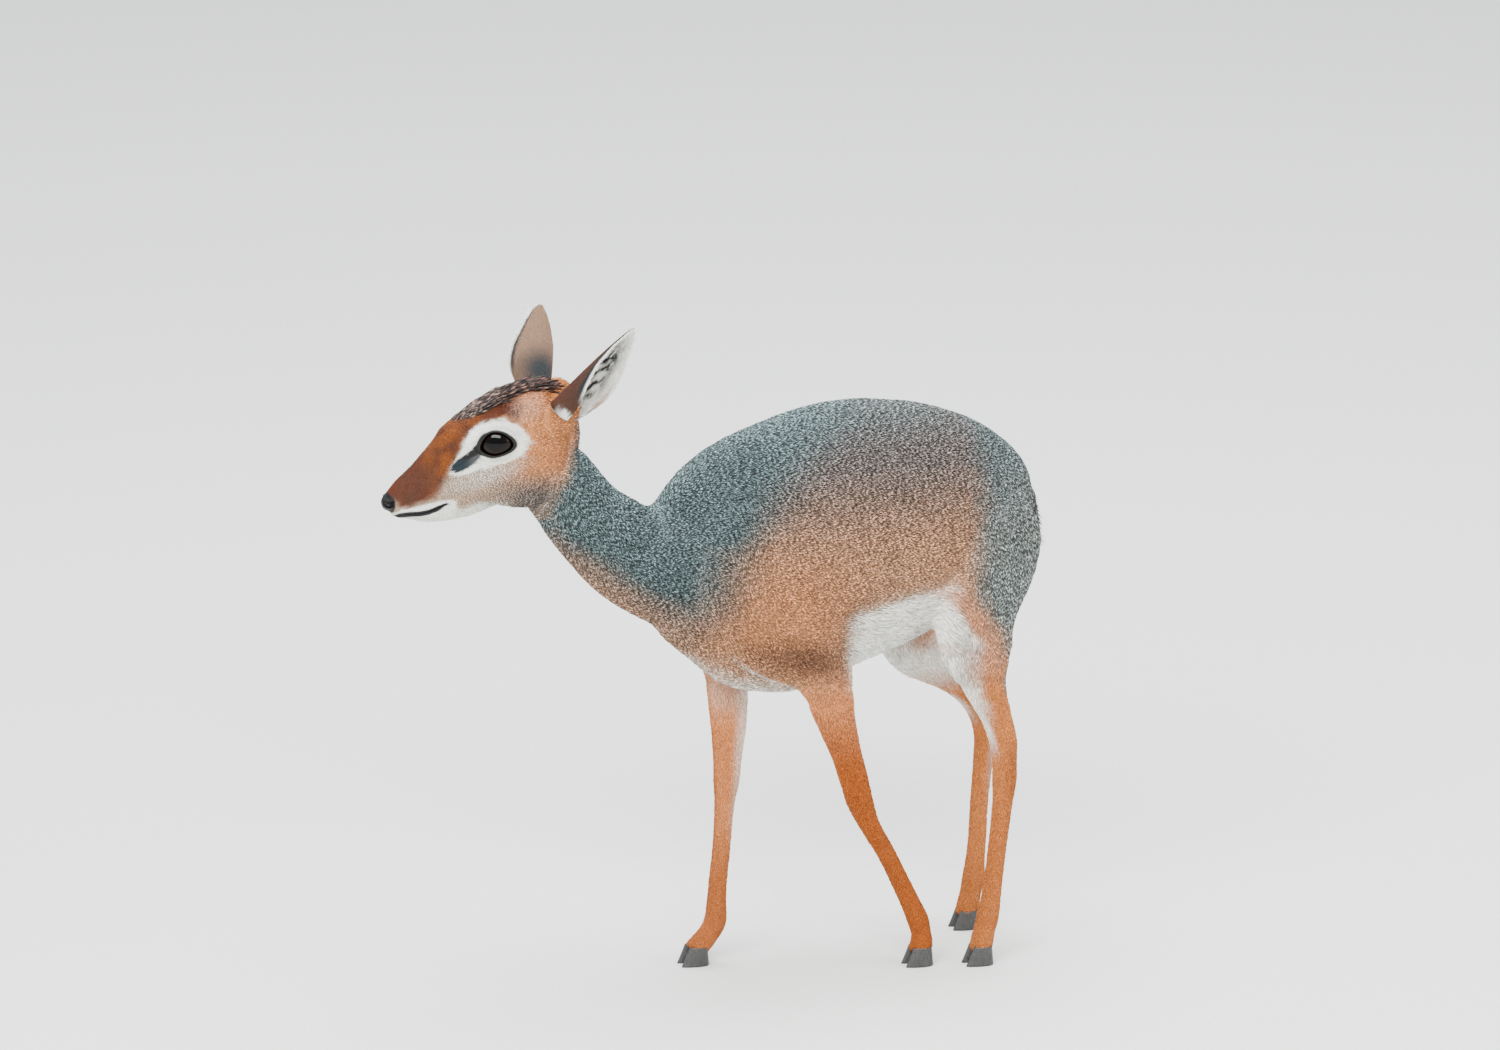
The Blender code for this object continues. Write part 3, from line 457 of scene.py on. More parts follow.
def lid_edge():
    """A round bead along the edge of the right eye's opening, on the eyeball, in the head's frame."""
    placed = eye_frame()
    curve = bpy.data.curves.new("lid", "CURVE")
    curve.dimensions = "3D"
    curve.bevel_depth = LID_BEAD
    curve.bevel_resolution = 3
    outline = list(zip(*eye_outline(circle(72), 1.03)))
    spline = curve.splines.new("POLY")
    spline.points.add(len(outline) - 1)
    spline.use_cyclic_u = True
    for point, (across, rise) in zip(spline.points, outline):
        spot = (across - EYEBALL_SINK.x) ** 2 + (rise - EYEBALL_SINK.y) ** 2
        depth = EYEBALL_SINK.z + math.sqrt(EYEBALL_RADIUS**2 - spot) + LID_LIFT
        point.co = (*(placed @ Vector((across, rise, depth))), 1)
    drawn = new_object("lid", curve)
    made = new_object("lid_edge", evaluated_mesh(drawn))
    bpy.data.objects.remove(drawn)
    return made


def eye_opening():
    """The column whose section is the eye's opening, reaching outward from the eyeball's middle."""
    placed = eye_frame()
    shape = bmesh.new()
    loops = []
    for depth, size in ((2 * MM, 0.9), (EYE_RADIUS * 1.5, 1.02)):
        outline = zip(*eye_outline(circle(60), size))
        loops.append([shape.verts.new(placed @ Vector((*spot, depth))) for spot in outline])
    skin_between(shape, loops, closed=True)
    return finished("opening", shape)


def ball(centre, radii, segments=24, rings=14):
    place = Matrix.Translation(centre) @ Matrix.Diagonal((*radii, 1))
    shape = bmesh.new()
    bmesh.ops.create_uvsphere(shape, u_segments=segments, v_segments=rings, radius=1, matrix=place)
    return finished("ball", shape)


def mirror_side(item):
    """A copy of the object's mesh reflected to the other side of the head."""
    mesh = evaluated_mesh(item)
    mesh.transform(item.matrix_world)
    mesh.transform(Matrix.Diagonal((1, -1, 1, 1)))
    mesh.flip_normals()
    return new_object(item.name + "_mirrored", mesh)


def head_forms():
    """The head's overlapping forms, placed in the sections' frame."""
    forms = [loft(upright(HEAD), step=3.0, fullness=np.array(HEAD)[:, 5])]
    for rows in (CHEEK, BROW, EAR_BOSS):
        forms += [loft(side, step=3.0) for side in (rows, [(t, -y, *rest) for t, y, *rest in rows])]
    lids = (EYE_CENTRE, Vector((1, 1, 1)) * (EYE_RADIUS + LID_COVER))
    for centre, radii in (NOSE_PAD, UPPER_LIP, lids):
        forms.append(ball(centre, radii))
        forms.append(mirror_side(forms[-1]))
    placed = head_frame()
    for form in forms:
        form.matrix_world = placed
    return forms


def whole_body():
    """The body in one surface, from nose to tail and down to the hooves' tops."""
    masses = [loft(upright(TRUNK), ring=40), *map(loft, MASSES.values())]
    body = blended(joined("masses", masses), COARSE_VOXEL, COARSE_ROUNDS)
    forms = [body, *head_forms(), loft(TAIL, step=8.0, ring=16)]
    forms += [loft(rows, step=4.0, cap=0.3) for rows in LEGS.values()]
    return blended(joined("body", forms), SKIN_VOXEL, SKIN_ROUNDS)


def soft(low, high, value):
    """A smooth step from 0 at low to 1 at high."""
    share = np.clip((value - low) / (high - low), 0, 1)
    return share * share * (3 - 2 * share)


def oval(across, rise, centre, half, slant=0.0, edge=0.25):
    """1 inside a slanted oval, falling to 0 over its soft edge."""
    a, b = across - centre[0], rise - centre[1]
    c, s = math.cos(slant), math.sin(slant)
    radius = np.hypot((a * c + b * s) / half[0], (b * c - a * s) / half[1])
    return 1 - soft(1 - edge, 1 + edge, radius)


def zone(across, rise, outline, edge):
    """1 inside a closed outline, falling to 0 over an edge of this many millimetres."""
    corners = np.array(outline, float)
    spots = np.column_stack([across, rise])
    apart = np.full(len(spots), 1e9)
    inside = np.zeros(len(spots), bool)
    for start, end in zip(corners, np.roll(corners, -1, axis=0)):
        way = end - start
        share = np.clip(((spots - start) @ way) / (way @ way), 0, 1)
        apart = np.minimum(apart, np.hypot(*(spots - start - share[:, None] * way).T))
        crosses = (start[1] > spots[:, 1]) != (end[1] > spots[:, 1])
        height = np.where(crosses, spots[:, 1] - start[1], 0)
        inside ^= crosses & (spots[:, 0] < start[0] + height * way[0] / (way[1] or 1e-9))
    return soft(-edge / 2, edge / 2, np.where(inside, apart, -apart))


def wander(places, scale, amount, offset=0.0):
    """Smooth noise at each place, in millimetres, for edges that aren't ruled."""
    shift = Vector((offset, offset * 1.7, offset * 0.3))
    values = [noise.noise(Vector(p) / scale + shift) for p in places]
    return np.array(values) * amount


class Paths:
    """The lines that the body's masses follow: what the coat's lie and the unwrap are read from."""

    def __init__(self):
        placed = head_frame()
        skull = []
        for t, z, up, down, half, _ in HEAD:
            skull.append((*(placed @ (Vector((t, 0, z)) * MM) / MM), half, up, down))
        tables = {"head": skull, "neck": MASSES["neck"], "trunk": upright(TRUNK), "tail": TAIL}
        tables.update(MASSES)
        tables.update(LEGS)
        self.names = list(tables)
        self.lines = {}
        for name, rows in tables.items():
            table = resampled(rows, PATH_STEP)
            tangent = np.gradient(table[:, :3], axis=0)
            tangent /= np.linalg.norm(tangent, axis=1)[:, None]
            self.lines[name] = (table[:, :3], tangent, table[:, 3:6].mean(axis=1))

    def nearest(self, places):
        """For each path: distance in radii, tangent, share along and centre at its nearest point."""
        found = {}
        for name, (centres, tangents, radii) in self.lines.items():
            apart = np.linalg.norm(places[:, None, :] - centres[None], axis=2) / radii[None]
            index = apart.argmin(axis=1)
            rows = np.arange(len(places))
            found[name] = (apart[rows, index], tangents[index], index / (len(centres) - 1), centres[index])
        return found


PATHS = Paths()
# Lie of the hair on each mass beside its path's own direction, and how strongly it counts
DROOP = {"trunk": 0.35, "neck": 0.05, "head": 0.0}
PULL = {"left_shoulder": 0.5, "right_shoulder": 0.5, "left_haunch": 0.5, "right_haunch": 0.5}


def lie_of_coat(places, normals, near):
    """The way the hair lies at each place, along the skin."""
    names = PATHS.names
    apart = np.array([near[name][0] for name in names])
    weights = np.exp(-7 * (apart - apart.min(axis=0)))
    total = np.zeros_like(places)
    for name, weight in zip(names, weights):
        way = near[name][1].copy()
        way[:, 2] -= DROOP.get(name, 0.0)
        total += way * (weight * PULL.get(name, 1.0))[:, None]
    total -= normals * np.sum(total * normals, axis=1)[:, None]
    size = np.linalg.norm(total, axis=1)
    total[size < 0.05] = (0.0, 0.0, -1.0)
    total /= np.linalg.norm(total, axis=1)[:, None]
    turn = wander(places, 22.0, 0.45, 3.1)
    across = np.cross(normals, total)
    return total * np.cos(turn)[:, None] + across * np.sin(turn)[:, None]


# Edges of the markings in millimetres, as height and place along the body, or for the throat and the
# belly as place and height
COLLAR_EDGE = (
    (250, -146), (274, -131), (299, -120), (328, -110), (340, -88), (373, -66), (397, -38), (430, 20),
)
THROAT_EDGE = ((-260, 352), (-240, 341), (-207, 319), (-173, 293), (-130, 268), (-100, 250))
NAPE_EDGE = ((300, -262), (340, -246), (356, -239), (382, -228), (409, -218), (440, -208))
HAUNCH_EDGE = ((225, 98), (255, 84), (281, 66), (300, 66), (347, 70), (389, 76), (430, 84))
BELLY_LINE = ((-60, 250), (-34, 262), (-26, 273), (10, 281), (54, 288), (75, 270))

# Outlines of the face's markings on either side, as t and z in the head's frame, in millimetres
EYE_RING = (
    (50, 12), (51.5, 16.5), (56.5, 21.5), (61.8, 27), (66.4, 33), (71.8, 38), (80, 41.5), (88.9, 42.8),
    (97, 41.4), (103.7, 36.8), (108, 30.5), (109.8, 23.7), (108, 18), (103.5, 14), (97, 11.6),
    (90.3, 10.6), (83, 10.6), (75.9, 11), (68, 10), (61, 8.6), (54, 8.8),
)
GLAND = (
    (50.2, 13.6), (53, 17.8), (57.9, 21.2), (64.8, 23), (70, 24.4), (73.6, 25.4), (75.6, 23), (73.5, 19.4),
    (68.6, 15.8), (63, 13.2), (58.5, 11.8), (54.5, 11.4),
)
TEAR_LINE = (
    (56, 20), (63, 23.4), (69, 26.4), (74.5, 30.5), (79.5, 33.5),
    (79.5, 28), (77.4, 23.6), (72, 21.4), (64, 20),
)
MUZZLE_SIDE = (
    (13, 2), (15, 8), (22, 14), (29, 20), (36, 21), (42, 16), (43, 11), (38, 6), (32, 2), (25, -2), (17, -2),
)
BRIDGE = (
    (-4, 3), (8, 3), (10.5, -2.2), (14, -3.6), (26, -3.2), (35, -2.2), (40, 2), (45, 8), (50, 15),
    (56, 21.5), (61.4, 27), (66, 33), (72, 38), (82, 42), (98, 42), (106, 37), (112, 44),
    (112, 70), (-4, 70),
)
LIPS = (
    (-6, -6.5), (7, -6), (10.5, -4.2), (13, -5.6), (26, -5.4), (35, -5.8), (44, -6.8), (48, -9),
    (47.5, -16), (44, -22), (36, -26), (10, -26), (-6, -20),
)
NOSE_SKIN = (
    (-4, 8.2), (3, 8.6), (5.6, 7.4), (7.6, 5), (8.2, 2), (7.4, -1.6), (5.8, -4.4), (3.6, -6.4), (-4, -7),
)
CREST_EDGE = ((54, 1), (60, 4), (66, 7.5), (72, 10), (78, 11), (92, 10), (106, 8), (118, 6), (130, 4))

# What the coat is before its markings: tuft sizes and the hair's depth in millimetres, and shares
PLAIN_COAT = {
    "grizzle": 1.0, "length": 6.6, "width": 0.85, "lift": 0.75, "depth": 1.9,
    "cover": 1.0, "gloss": 0.0, "crest": 0.0,
}


def along_edge(edge, value):
    return np.interp(value, *zip(*edge))


def mixed(colours, **shares):
    """A colour mixed from the named ones."""
    return sum(np.array(getattr(colours, name)) * share for name, share in shares.items())


def laid(base, colour, weight):
    """A colour laid over another, by a weight at each place."""
    return base * (1 - weight[:, None]) + colour * weight[:, None]


def on_skin(ways, normals):
    """Ways turned to lie along the skin, of unit length."""
    flat = ways - normals * np.sum(ways * normals, axis=1)[:, None]
    return flat / (np.linalg.norm(flat, axis=1)[:, None] + 1e-9)


def ridge(value, middle, width):
    """1 on the line where the value is middle, falling away smoothly on both sides."""
    return np.exp(-(((value - middle) / width) ** 2))


class Skin:
    """Colour, grizzle and tuft sizes at points of the skin, given in millimetres in the sections' frame."""

    def __init__(self, colours, places, normals):
        self.colours = colours
        self.places = places
        self.normals = normals
        self.near = PATHS.nearest(places)
        self.head = into(head_frame(), places)
        self.head_normals = normals @ np.array(head_frame().inverted().to_3x3()).T
        self.on_head = soft(6, -6, places[:, 0] - along_edge(NAPE_EDGE, places[:, 2]))
        self.side = np.abs(self.head[:, 1])
        self.eye = into(eye_frame(), np.column_stack([self.head[:, 0], self.side, self.head[:, 2]]))
        self.lid = np.where(self.eye[:, 2] > 0, lid_share(self.eye[:, 0], self.eye[:, 1]), 9.0)
        self.tone = np.tile(mixed(colours, dun=1), (len(places), 1))
        for name, value in PLAIN_COAT.items():
            setattr(self, name, np.full(len(places), value))
        self.rough = wander(places, 9.0, 5.0)
        self.body()
        self.legs()
        self.face()

    def paint(self, weight, colour, grizzle):
        """Lays a colour over the skin by weight: one by name, a mix by its shares, or the colour itself."""
        if isinstance(colour, str):
            colour = {colour: 1}
        if isinstance(colour, dict):
            colour = mixed(self.colours, **colour)
        self.tone = laid(self.tone, colour, weight)
        self.grizzle = self.grizzle * (1 - weight) + grizzle * weight

    def size(self, weight, **sizes):
        for name, value in sizes.items():
            setattr(self, name, getattr(self, name) * (1 - weight) + value * weight)

    def body(self):
        x, y, z = self.places.T
        rough = self.rough
        self.paint(soft(388, 306, z + rough), "tan", 0.85)
        self.paint(soft(330, 262, z + rough), "tan", 0.6)
        self.paint(oval(x, z, (-92, 262), (66, 44), 0.5, 0.6) * 0.35, "orange", 0.5)
        self.paint(oval(x, z, (-66, 246), (38, 12), -0.2, 0.9) * 0.75, "umber", 0.6)
        self.paint(oval(x, z, (-24, 272), (14, 9), 1.2, 0.7) * 0.4, "umber", 0.6)
        ahead = soft(30, -28, x - along_edge(COLLAR_EDGE, z) + rough)
        # Painted shade: the grey of neck and shoulders is a fifth darker everywhere but on top of the back
        # behind the shoulders, which the light from above brightens.
        painted_shade = np.maximum(soft(-50, -100, x), soft(385, 345, z))[:, None]
        self.paint(ahead, mixed(self.colours, grey=1) * (1 - 0.2 * painted_shade), 1.0)
        haunch = soft(-14, 18, x - along_edge(HAUNCH_EDGE, z) + rough) * soft(212, 240, z + rough)
        self.paint(haunch * 0.85, "grey", 0.95)
        frosted = {"grey": 0.88, "fawn": 0.11, "cream": 0.05}
        self.paint(haunch * soft(345, 290, z) * 0.85, frosted, 0.95)
        self.paint(soft(380, 412, z) * 0.6, "grey", 0.9)
        throat = soft(18, -18, z - along_edge(THROAT_EDGE, x) + rough) * soft(-60, -100, x)
        self.paint(throat * ahead, "dun", 0.9)
        self.paint(throat * 0.6, "tan", 0.8)
        above = z - along_edge(BELLY_LINE, x)
        hind_end = soft(78, 62, x + 18 * soft(34, 46, np.abs(y)))
        belly = soft(3, -3, above + rough * 0.5) * (soft(-33, -18, x) * hind_end)
        self.paint(soft(12, 0, above) * soft(-36, -20, x) * hind_end * 0.6, "fawn", 0.3)
        self.paint(belly, "cream", 0.05)
        under = soft(0.5, 1.0, -self.normals[:, 2] + rough * 0.02) * soft(262, 236, z)
        under = under * soft(-150, -120, x) * 0.85 * (1 - soft(38, 46, np.abs(y)))
        self.paint(under, "cream", 0.3)
        self.size(belly, length=13, width=0.95, lift=0.9)
        self.size(under, length=11, width=0.95, lift=1.1)
        self.size(soft(100, 125, x) * soft(240, 260, z), length=9)

    def legs(self):
        x, y, z = self.places.T
        rough = self.rough
        ahead = self.normals[:, 0]
        orange = mixed(self.colours, orange=1)
        for name in LEGS:
            left, hind = name.startswith("left"), name.endswith("hindleg")
            beside = y < 0 if left else y > 0
            mine = soft(1.75, 1.25, self.near[name][0]) * beside
            upper = 222 if hind else 226
            low = mine * soft(upper + 14, upper - 16, z + rough)
            inward = self.normals[:, 1] if left else -self.normals[:, 1]
            if hind:
                haunch = np.minimum(self.near[name][0], self.near[name.replace("hindleg", "haunch")][0])
                thigh = soft(1.7, 1.3, haunch) * beside * soft(296, 276, z + rough) * soft(196, 214, z)
                thigh *= soft(6, -16, x - along_edge(HAUNCH_EDGE, z) + rough)
                self.paint(thigh * 0.85, {"cream": 0.15, "orange": 0.8}, 0.35)
                deep = soft(165, 90, z) * 0.4
                pale, dim, edge = {"orange": 0.92, "cream": 0.03}, 0.03, (25, 70)
            else:
                deep = soft(226, 150, z) * (1.0 if left else 0.75)
                pale, dim, edge = {"orange": 1.0, "cream": 0.08}, 0.06, (60, 110)
            burnt = orange * np.array((0.66, 0.5, 0.16))
            self.paint(low, laid(mixed(self.colours, **pale), burnt, deep), 0.25)
            if hind:
                hock = soft(112, 128, z) * soft(172, 150, z) * soft(-0.5, 0.3, ahead)
                self.paint(low * hock * 0.45, orange * np.array((0.5, 0.36, 0.2)), 0.25)
            inner = low * soft(-0.1, 0.6, inward) * soft(*edge, z)
            self.paint(inner * 0.9, {"cream": dim, "orange": 1}, 0.15)
            self.paint(inner * soft(-0.1, 0.6, ahead) * soft(80, 170, z) * 0.5, "cream", 0.12)
            self.paint(inner * soft(178, 206, z) * (0.95 if hind else 0.25), "cream", 0.12)
            if hind:
                self.paint(low * soft(0.3, 0.85, ahead) * soft(196, 216, z) * 0.8, "grey", 0.8)
                seam = x - (53 if left else 33) - (285 - z) * 0.84
                front = soft(1.8, 1.4, haunch) * beside * soft(-9, -20, seam + rough) * soft(238, 252, z)
                lower = mine * soft(0.0, -0.6, ahead + rough * 0.03) * soft(252, 238, z)
                front = np.maximum(front, lower) * soft(288, 272, z + rough) * soft(176, 208, z)
                self.paint(front * 0.95, "cream", 0.1)
                stripe = mine * soft(-0.4, -0.8, ahead) * soft(150, 178, z) * soft(215, 195, z)
                self.paint(stripe * 0.8, "cream", 0.1)
                self.size(front * soft(185, 200, z), length=12, width=1.0, lift=1.1)
            length = np.interp(z, (20, 60, 130, 200, 240), (3.0, 3.6, 4.2, 5.5, 7.0))
            self.size(low, length=length, width=np.interp(z, (60, 200), (0.65, 0.8)), lift=0.6)
            self.size(low, depth=np.interp(z, (15, 130, 200, 240), (0.5, 0.6, 1.0, 1.7)))

    def face(self):
        t, _, z = self.head.T
        side = self.side
        mine = soft(6, -6, self.places[:, 0] - along_edge(NAPE_EDGE, self.places[:, 2]) + self.rough * 0.7)
        mine *= soft(-60, -40, z)
        fine = wander(self.places, 3.2, 1.0, 5.0) * self.on_head
        blotch = soft(-0.1, 0.45, wander(self.places, 11.0, 1.0, 6.0)) * self.on_head
        bridge = zone(t, z, BRIDGE, 8.0)
        muzzle = zone(t + fine * 3, z + fine * 3, MUZZLE_SIDE, 11.0)
        jaw = mine * soft(0.2, 0.6, -self.head_normals[:, 2]) * soft(-13, -20, z) * soft(88, 66, t)
        for weight, colour, grizzle in (
            (1.0, {"fawn": 0.85}, 0.75),
            (soft(72, 112, t) * soft(-30, 4, z) * 0.7, "orange", 0.35),
            (zone(t, z + fine * 2, BRIDGE, 5.0), "rufous", 0.45),
            (soft(100, 118, t) * soft(36, 46, z) * 0.8, "orange", 0.3),
            (oval(t, z, (116, 45), (12, 8), 0.3, 0.8) * 0.15, "cream", 0.3),
            (bridge * blotch * 0.5, "umber", 0.45),
            (bridge * (1 - blotch) * soft(26, 44, t) * soft(96, 70, t) * 0.25, "orange", 0.3),
            (muzzle * 0.6, "umber", 0.25),
            (soft(8, 3, side) * soft(10, 20, z) * soft(8, 14, t) * soft(64, 40, t) * 0.3, "umber", 0.2),
            (oval(t, z, (72, 4), (25, 7), 0.12, 0.7) * 0.32, "cream", 0.85),
            (zone(t, z, LIPS, 2.0), "cream", 0.05),
            # Painted shade: a dun patch under the back of the jaw, where the cheek shades the hair.
            (oval(t, z, (101, -21), (25, 14), -0.2, 0.7) * 0.9, {"dun": 0.75}, 0.95),
        ):
            self.paint(mine * weight, colour, grizzle)
        self.paint(jaw * 0.85, "cream", 0.15)
        aside = soft(4, 9, side)
        ring = zone(t, z + fine * 0.8, EYE_RING, 1.6) * mine * aside
        gland = zone(t, z, GLAND, 1.4) * mine * aside
        corner = soft(-2, -9, self.eye[:, 0])
        rim = (1 - soft(1.1 + 0.1 * corner, 1.18 + 0.12 * corner, self.lid)) * mine * aside
        lids = np.maximum(zone(t, z, TEAR_LINE, 1.2) * mine * aside, rim)
        low_end = soft(3.5, -1.5, z - 11 - (t - 52) * 0.55) * soft(60, 72, t)
        pad = zone(t, z, NOSE_SKIN, 1.2) * mine
        half = np.interp(t, (0, 10, 36, 43.5), (1.3, 2.0, 1.8, 0.5))
        mouth = (1 - soft(half, half + 0.7, np.abs(z - along_edge(MOUTH, t)))) * mine * soft(44, 43, t)
        moist = ((gland, "slate"), (gland * low_end * 0.4, "dun"), (lids, "black"))
        for weight, colour in ((ring, "cream"), *moist, (pad, "black"), (mouth, "black")):
            self.paint(weight, colour, 0.0)
        bare = np.clip(pad + lids + gland + mouth, 0, 1)
        self.cover *= 1 - bare
        self.gloss = np.maximum(self.gloss, bare * np.where(gland > 0.5, 0.45, 0.75))
        edge = side - along_edge(CREST_EDGE, t) + self.rough * 0.3 + fine * 2
        self.crest = mine * soft(3, -4, edge) * (soft(52, 74, t) * soft(134, 124, t) * soft(28, 36, z))
        self.paint(self.crest * 0.6, {"umber": 0.6, "dun": 0.3}, 0.9)
        length = np.interp(t, (8, 30, 60, 90, 125), (1.6, 2.4, 3.0, 3.8, 5.0))
        self.size(mine, length=length, width=np.interp(t, (20, 120), (0.5, 0.75)), lift=0.6)
        self.size(mine, depth=np.interp(t, (5, 60, 120), (0.25, 0.5, 0.9)))
        self.size(mine * soft(2.4, 1.6, self.lid), length=2.4, width=0.5, lift=0.5, depth=0.3)
        self.size(jaw, length=np.maximum(length, 3.6), lift=0.8)

    def around_eyes(self, lie):
        """Turns the lie of the hair so that it parts in front of each eye and closes behind it."""
        x = (self.eye[:, 0] + 0.5) / 14.5
        y = (self.eye[:, 1] + 2.5) / 11.5
        radius = np.maximum(np.hypot(x, y), 1.0)
        angle = np.arctan2(y, x)
        out = (1 - 1 / radius**2) * np.cos(angle) + 0.25
        turned = -(1 + 1 / radius**2) * np.sin(angle)
        across = out * np.cos(angle) - turned * np.sin(angle)
        up = out * np.sin(angle) + turned * np.cos(angle)
        flow = np.column_stack([across, up, np.zeros(len(x))]) @ np.array(eye_frame().to_3x3()).T
        flow[:, 1] *= np.sign(self.head[:, 1])
        flow = on_skin(flow @ np.array(head_frame().to_3x3()).T, self.normals)
        way = laid(lie, flow, soft(2.6, 1.4, self.lid) * self.on_head)
        return way / (np.linalg.norm(way, axis=1)[:, None] + 1e-9)

    def relief(self):
        """Folds of the lids, gland, nose and lips, as millimetres out of the skin."""
        t, y, z = self.head.T
        aside = soft(4, 9, self.side) * self.on_head
        upper = soft(-6, 2, self.eye[:, 1])
        lids = 0.75 * ridge(self.lid, 1.07, 0.08)
        lids -= ridge(self.lid, 1.3, 0.07) * (0.3 + 0.45 * upper)
        lids += ridge(self.lid, 1.48, 0.1) * (0.2 + 0.35 * upper)
        gland = zone(t, z, GLAND, 3.0)
        slit = ridge(z - (15.5 + (t - 55) * 0.36), 0, 0.7) * soft(52, 55, t) * soft(68, 64, t)
        gland_form = -0.7 * gland - 0.9 * slit + 2.2 * gland * (1 - gland)
        above = z - along_edge(MOUTH, t)
        lips = soft(46, 40, t) * (0.55 * ridge(above, 1.9, 1.1) + 0.6 * ridge(above, -2.1, 1.3))
        lips -= 0.3 * ridge(above, 4.6, 1.2) * soft(44, 38, t) * soft(8, 14, t)
        groove = -0.8 * ridge(y, 0, 0.55) * soft(9, 6, t) * soft(7, 3, z)
        wing = np.min([np.hypot(t - a, z - b) for a, _, b in NOSTRIL], axis=0)
        wings = 0.55 * ridge(wing, 2.8, 0.8) * soft(2.5, 4.5, self.side) * soft(13, 10, t)
        return (lids + gland_form) * aside + (lips + groove + wings) * self.on_head


def vertices_of(mesh):
    places = np.empty(len(mesh.vertices) * 3, np.float32)
    mesh.vertices.foreach_get("co", places)
    return places.reshape(-1, 3).astype(float)


def normals_of(mesh):
    normals = np.empty(len(mesh.vertices) * 3, np.float32)
    mesh.vertex_normals.foreach_get("vector", normals)
    return normals.reshape(-1, 3).astype(float)


# Kind, field and width of the attributes that aren't plain numbers
FIELDS = {
    "tone": ("FLOAT_COLOR", "color", 4),
    "lie": ("FLOAT_VECTOR", "vector", 3),
    "root": ("FLOAT_VECTOR", "vector", 3),
}


def store(mesh, **values):
    """Writes named attributes from one value or row for all vertices, or one for each."""
    for name, value in values.items():
        kind, field, width = FIELDS.get(name, ("FLOAT", "value", 1))
        table = np.ones((len(mesh.vertices), width), np.float32)
        table[:, :3] = np.reshape(value, (-1, min(width, 3)))
        attribute = mesh.attributes.get(name) or mesh.attributes.new(name, kind, "POINT")
        attribute.data.foreach_set(field, table.ravel())


def read(mesh, name):
    """A named attribute's values, or its rows."""
    _, field, width = FIELDS.get(name, ("FLOAT", "value", 1))
    values = np.empty(len(mesh.attributes[name].data) * width, np.float32)
    mesh.attributes[name].data.foreach_get(field, values)
    return values.reshape(-1, width) if width > 1 else values


def dress(mesh, skin, lie):
    """Stores the skin's colours and tuft sizes on its mesh, for the materials and the coat."""
    plain = {name: getattr(skin, name) for name in ("tone", "grizzle", "lift", "cover", "gloss", "crest")}
    store(mesh, **plain, on_ear=0, tuft_length=skin.length * MM, tuft_width=skin.width * MM, lie=lie)


def near_features(mesh, reach):
    """Whether each vertex, in the sections' frame, lies near the eyes, glands, nose or mouth."""
    t, y, z = into(head_frame(), vertices_of(mesh) / MM).T
    beside = (np.abs(y) > 9) & (np.abs(y) < 40)
    eye = (np.hypot(t - 88, z - 27) < 22 * reach) & beside
    gland = (np.hypot(t - 62, z - 17) < 13 * reach) & beside
    front = (t > -6) & (t < 13 * reach) & (np.abs(z) < 16)
    mouth = (t < 48) & (t > -6) & (np.abs(z - along_edge(MOUTH, t)) < 8 * reach)
    return eye | gland | front | mouth


def refined(item, reach):
    """Halves the edges near the face's features and eases the surface there."""
    shape = bmesh.new()
    shape.from_mesh(item.data)
    shape.verts.ensure_lookup_table()
    chosen = near_features(item.data, reach)
    edges = [edge for edge in shape.edges if chosen[edge.verts[0].index] and chosen[edge.verts[1].index]]
    bmesh.ops.subdivide_edges(shape, edges=edges, cuts=1, use_grid_fill=True)
    bmesh.ops.triangulate(shape, faces=shape.faces)
    shape.to_mesh(item.data)
    chosen = near_features(item.data, reach)
    shape.verts.ensure_lookup_table()
    near = [vert for vert, wanted in zip(shape.verts, chosen) if wanted]
    axes = dict.fromkeys(("use_axis_x", "use_axis_y", "use_axis_z"), True)
    for _ in range(3):
        bmesh.ops.smooth_vert(shape, verts=near, factor=0.5, **axes)
    shape.to_mesh(item.data)
    shape.free()


def shaped_skin(item):
    """Draws the surface in by the coat's depth, folds it, then opens the eyes, nostrils and mouth."""
    for reach in (1.0, 0.85):
        refined(item, reach)
    mesh = item.data
    places, normals = vertices_of(mesh), normals_of(mesh)
    skin = Skin(bpy.context.scene.dikdik_colours, places / MM, normals)
    places += normals * ((skin.relief() - skin.depth) * MM)[:, None]
    mesh.vertices.foreach_set("co", places.astype(np.float32).ravel())
    socket = ball(EYE_CENTRE, Vector((1, 1, 1)) * (EYE_RADIUS - 0.4 * MM), 40, 26)
    rows = [(*spot, r, r, r) for spot, r in zip(NOSTRIL, NOSTRIL_RADII)]
    cutters = [socket, loft(rows, step=0.8, ring=14, cap=1.0), eye_opening()]
    cutters += [mirror_side(cutter) for cutter in cutters]
    cutters.insert(0, mouth_plate())
    for cutter in cutters:
        cutter.matrix_world = head_frame()
        modify(item, "BOOLEAN", operation="DIFFERENCE", solver="MANIFOLD", object=cutter)
    apply_modifiers(item)
    for cutter in cutters:
        bpy.data.objects.remove(cutter)


def mouth_plate():
    """The thin plate that opens the line of the mouth, from the front of the lips to their corners."""
    rows = resampled([(t, 0, z) for t, z in MOUTH], 3.0)
    shape = bmesh.new()
    edges = [
        [shape.verts.new(Vector((t * MM, y, z * MM))) for t, _, z in rows]
        for y in (-MOUTH_REACH, MOUTH_REACH)
    ]
    for k in range(len(rows) - 1):
        shape.faces.new((edges[0][k], edges[0][k + 1], edges[1][k + 1], edges[1][k]))
    plate = finished("mouth", shape)
    modify(plate, "SOLIDIFY", thickness=MOUTH_SLOT, offset=0)
    return plate


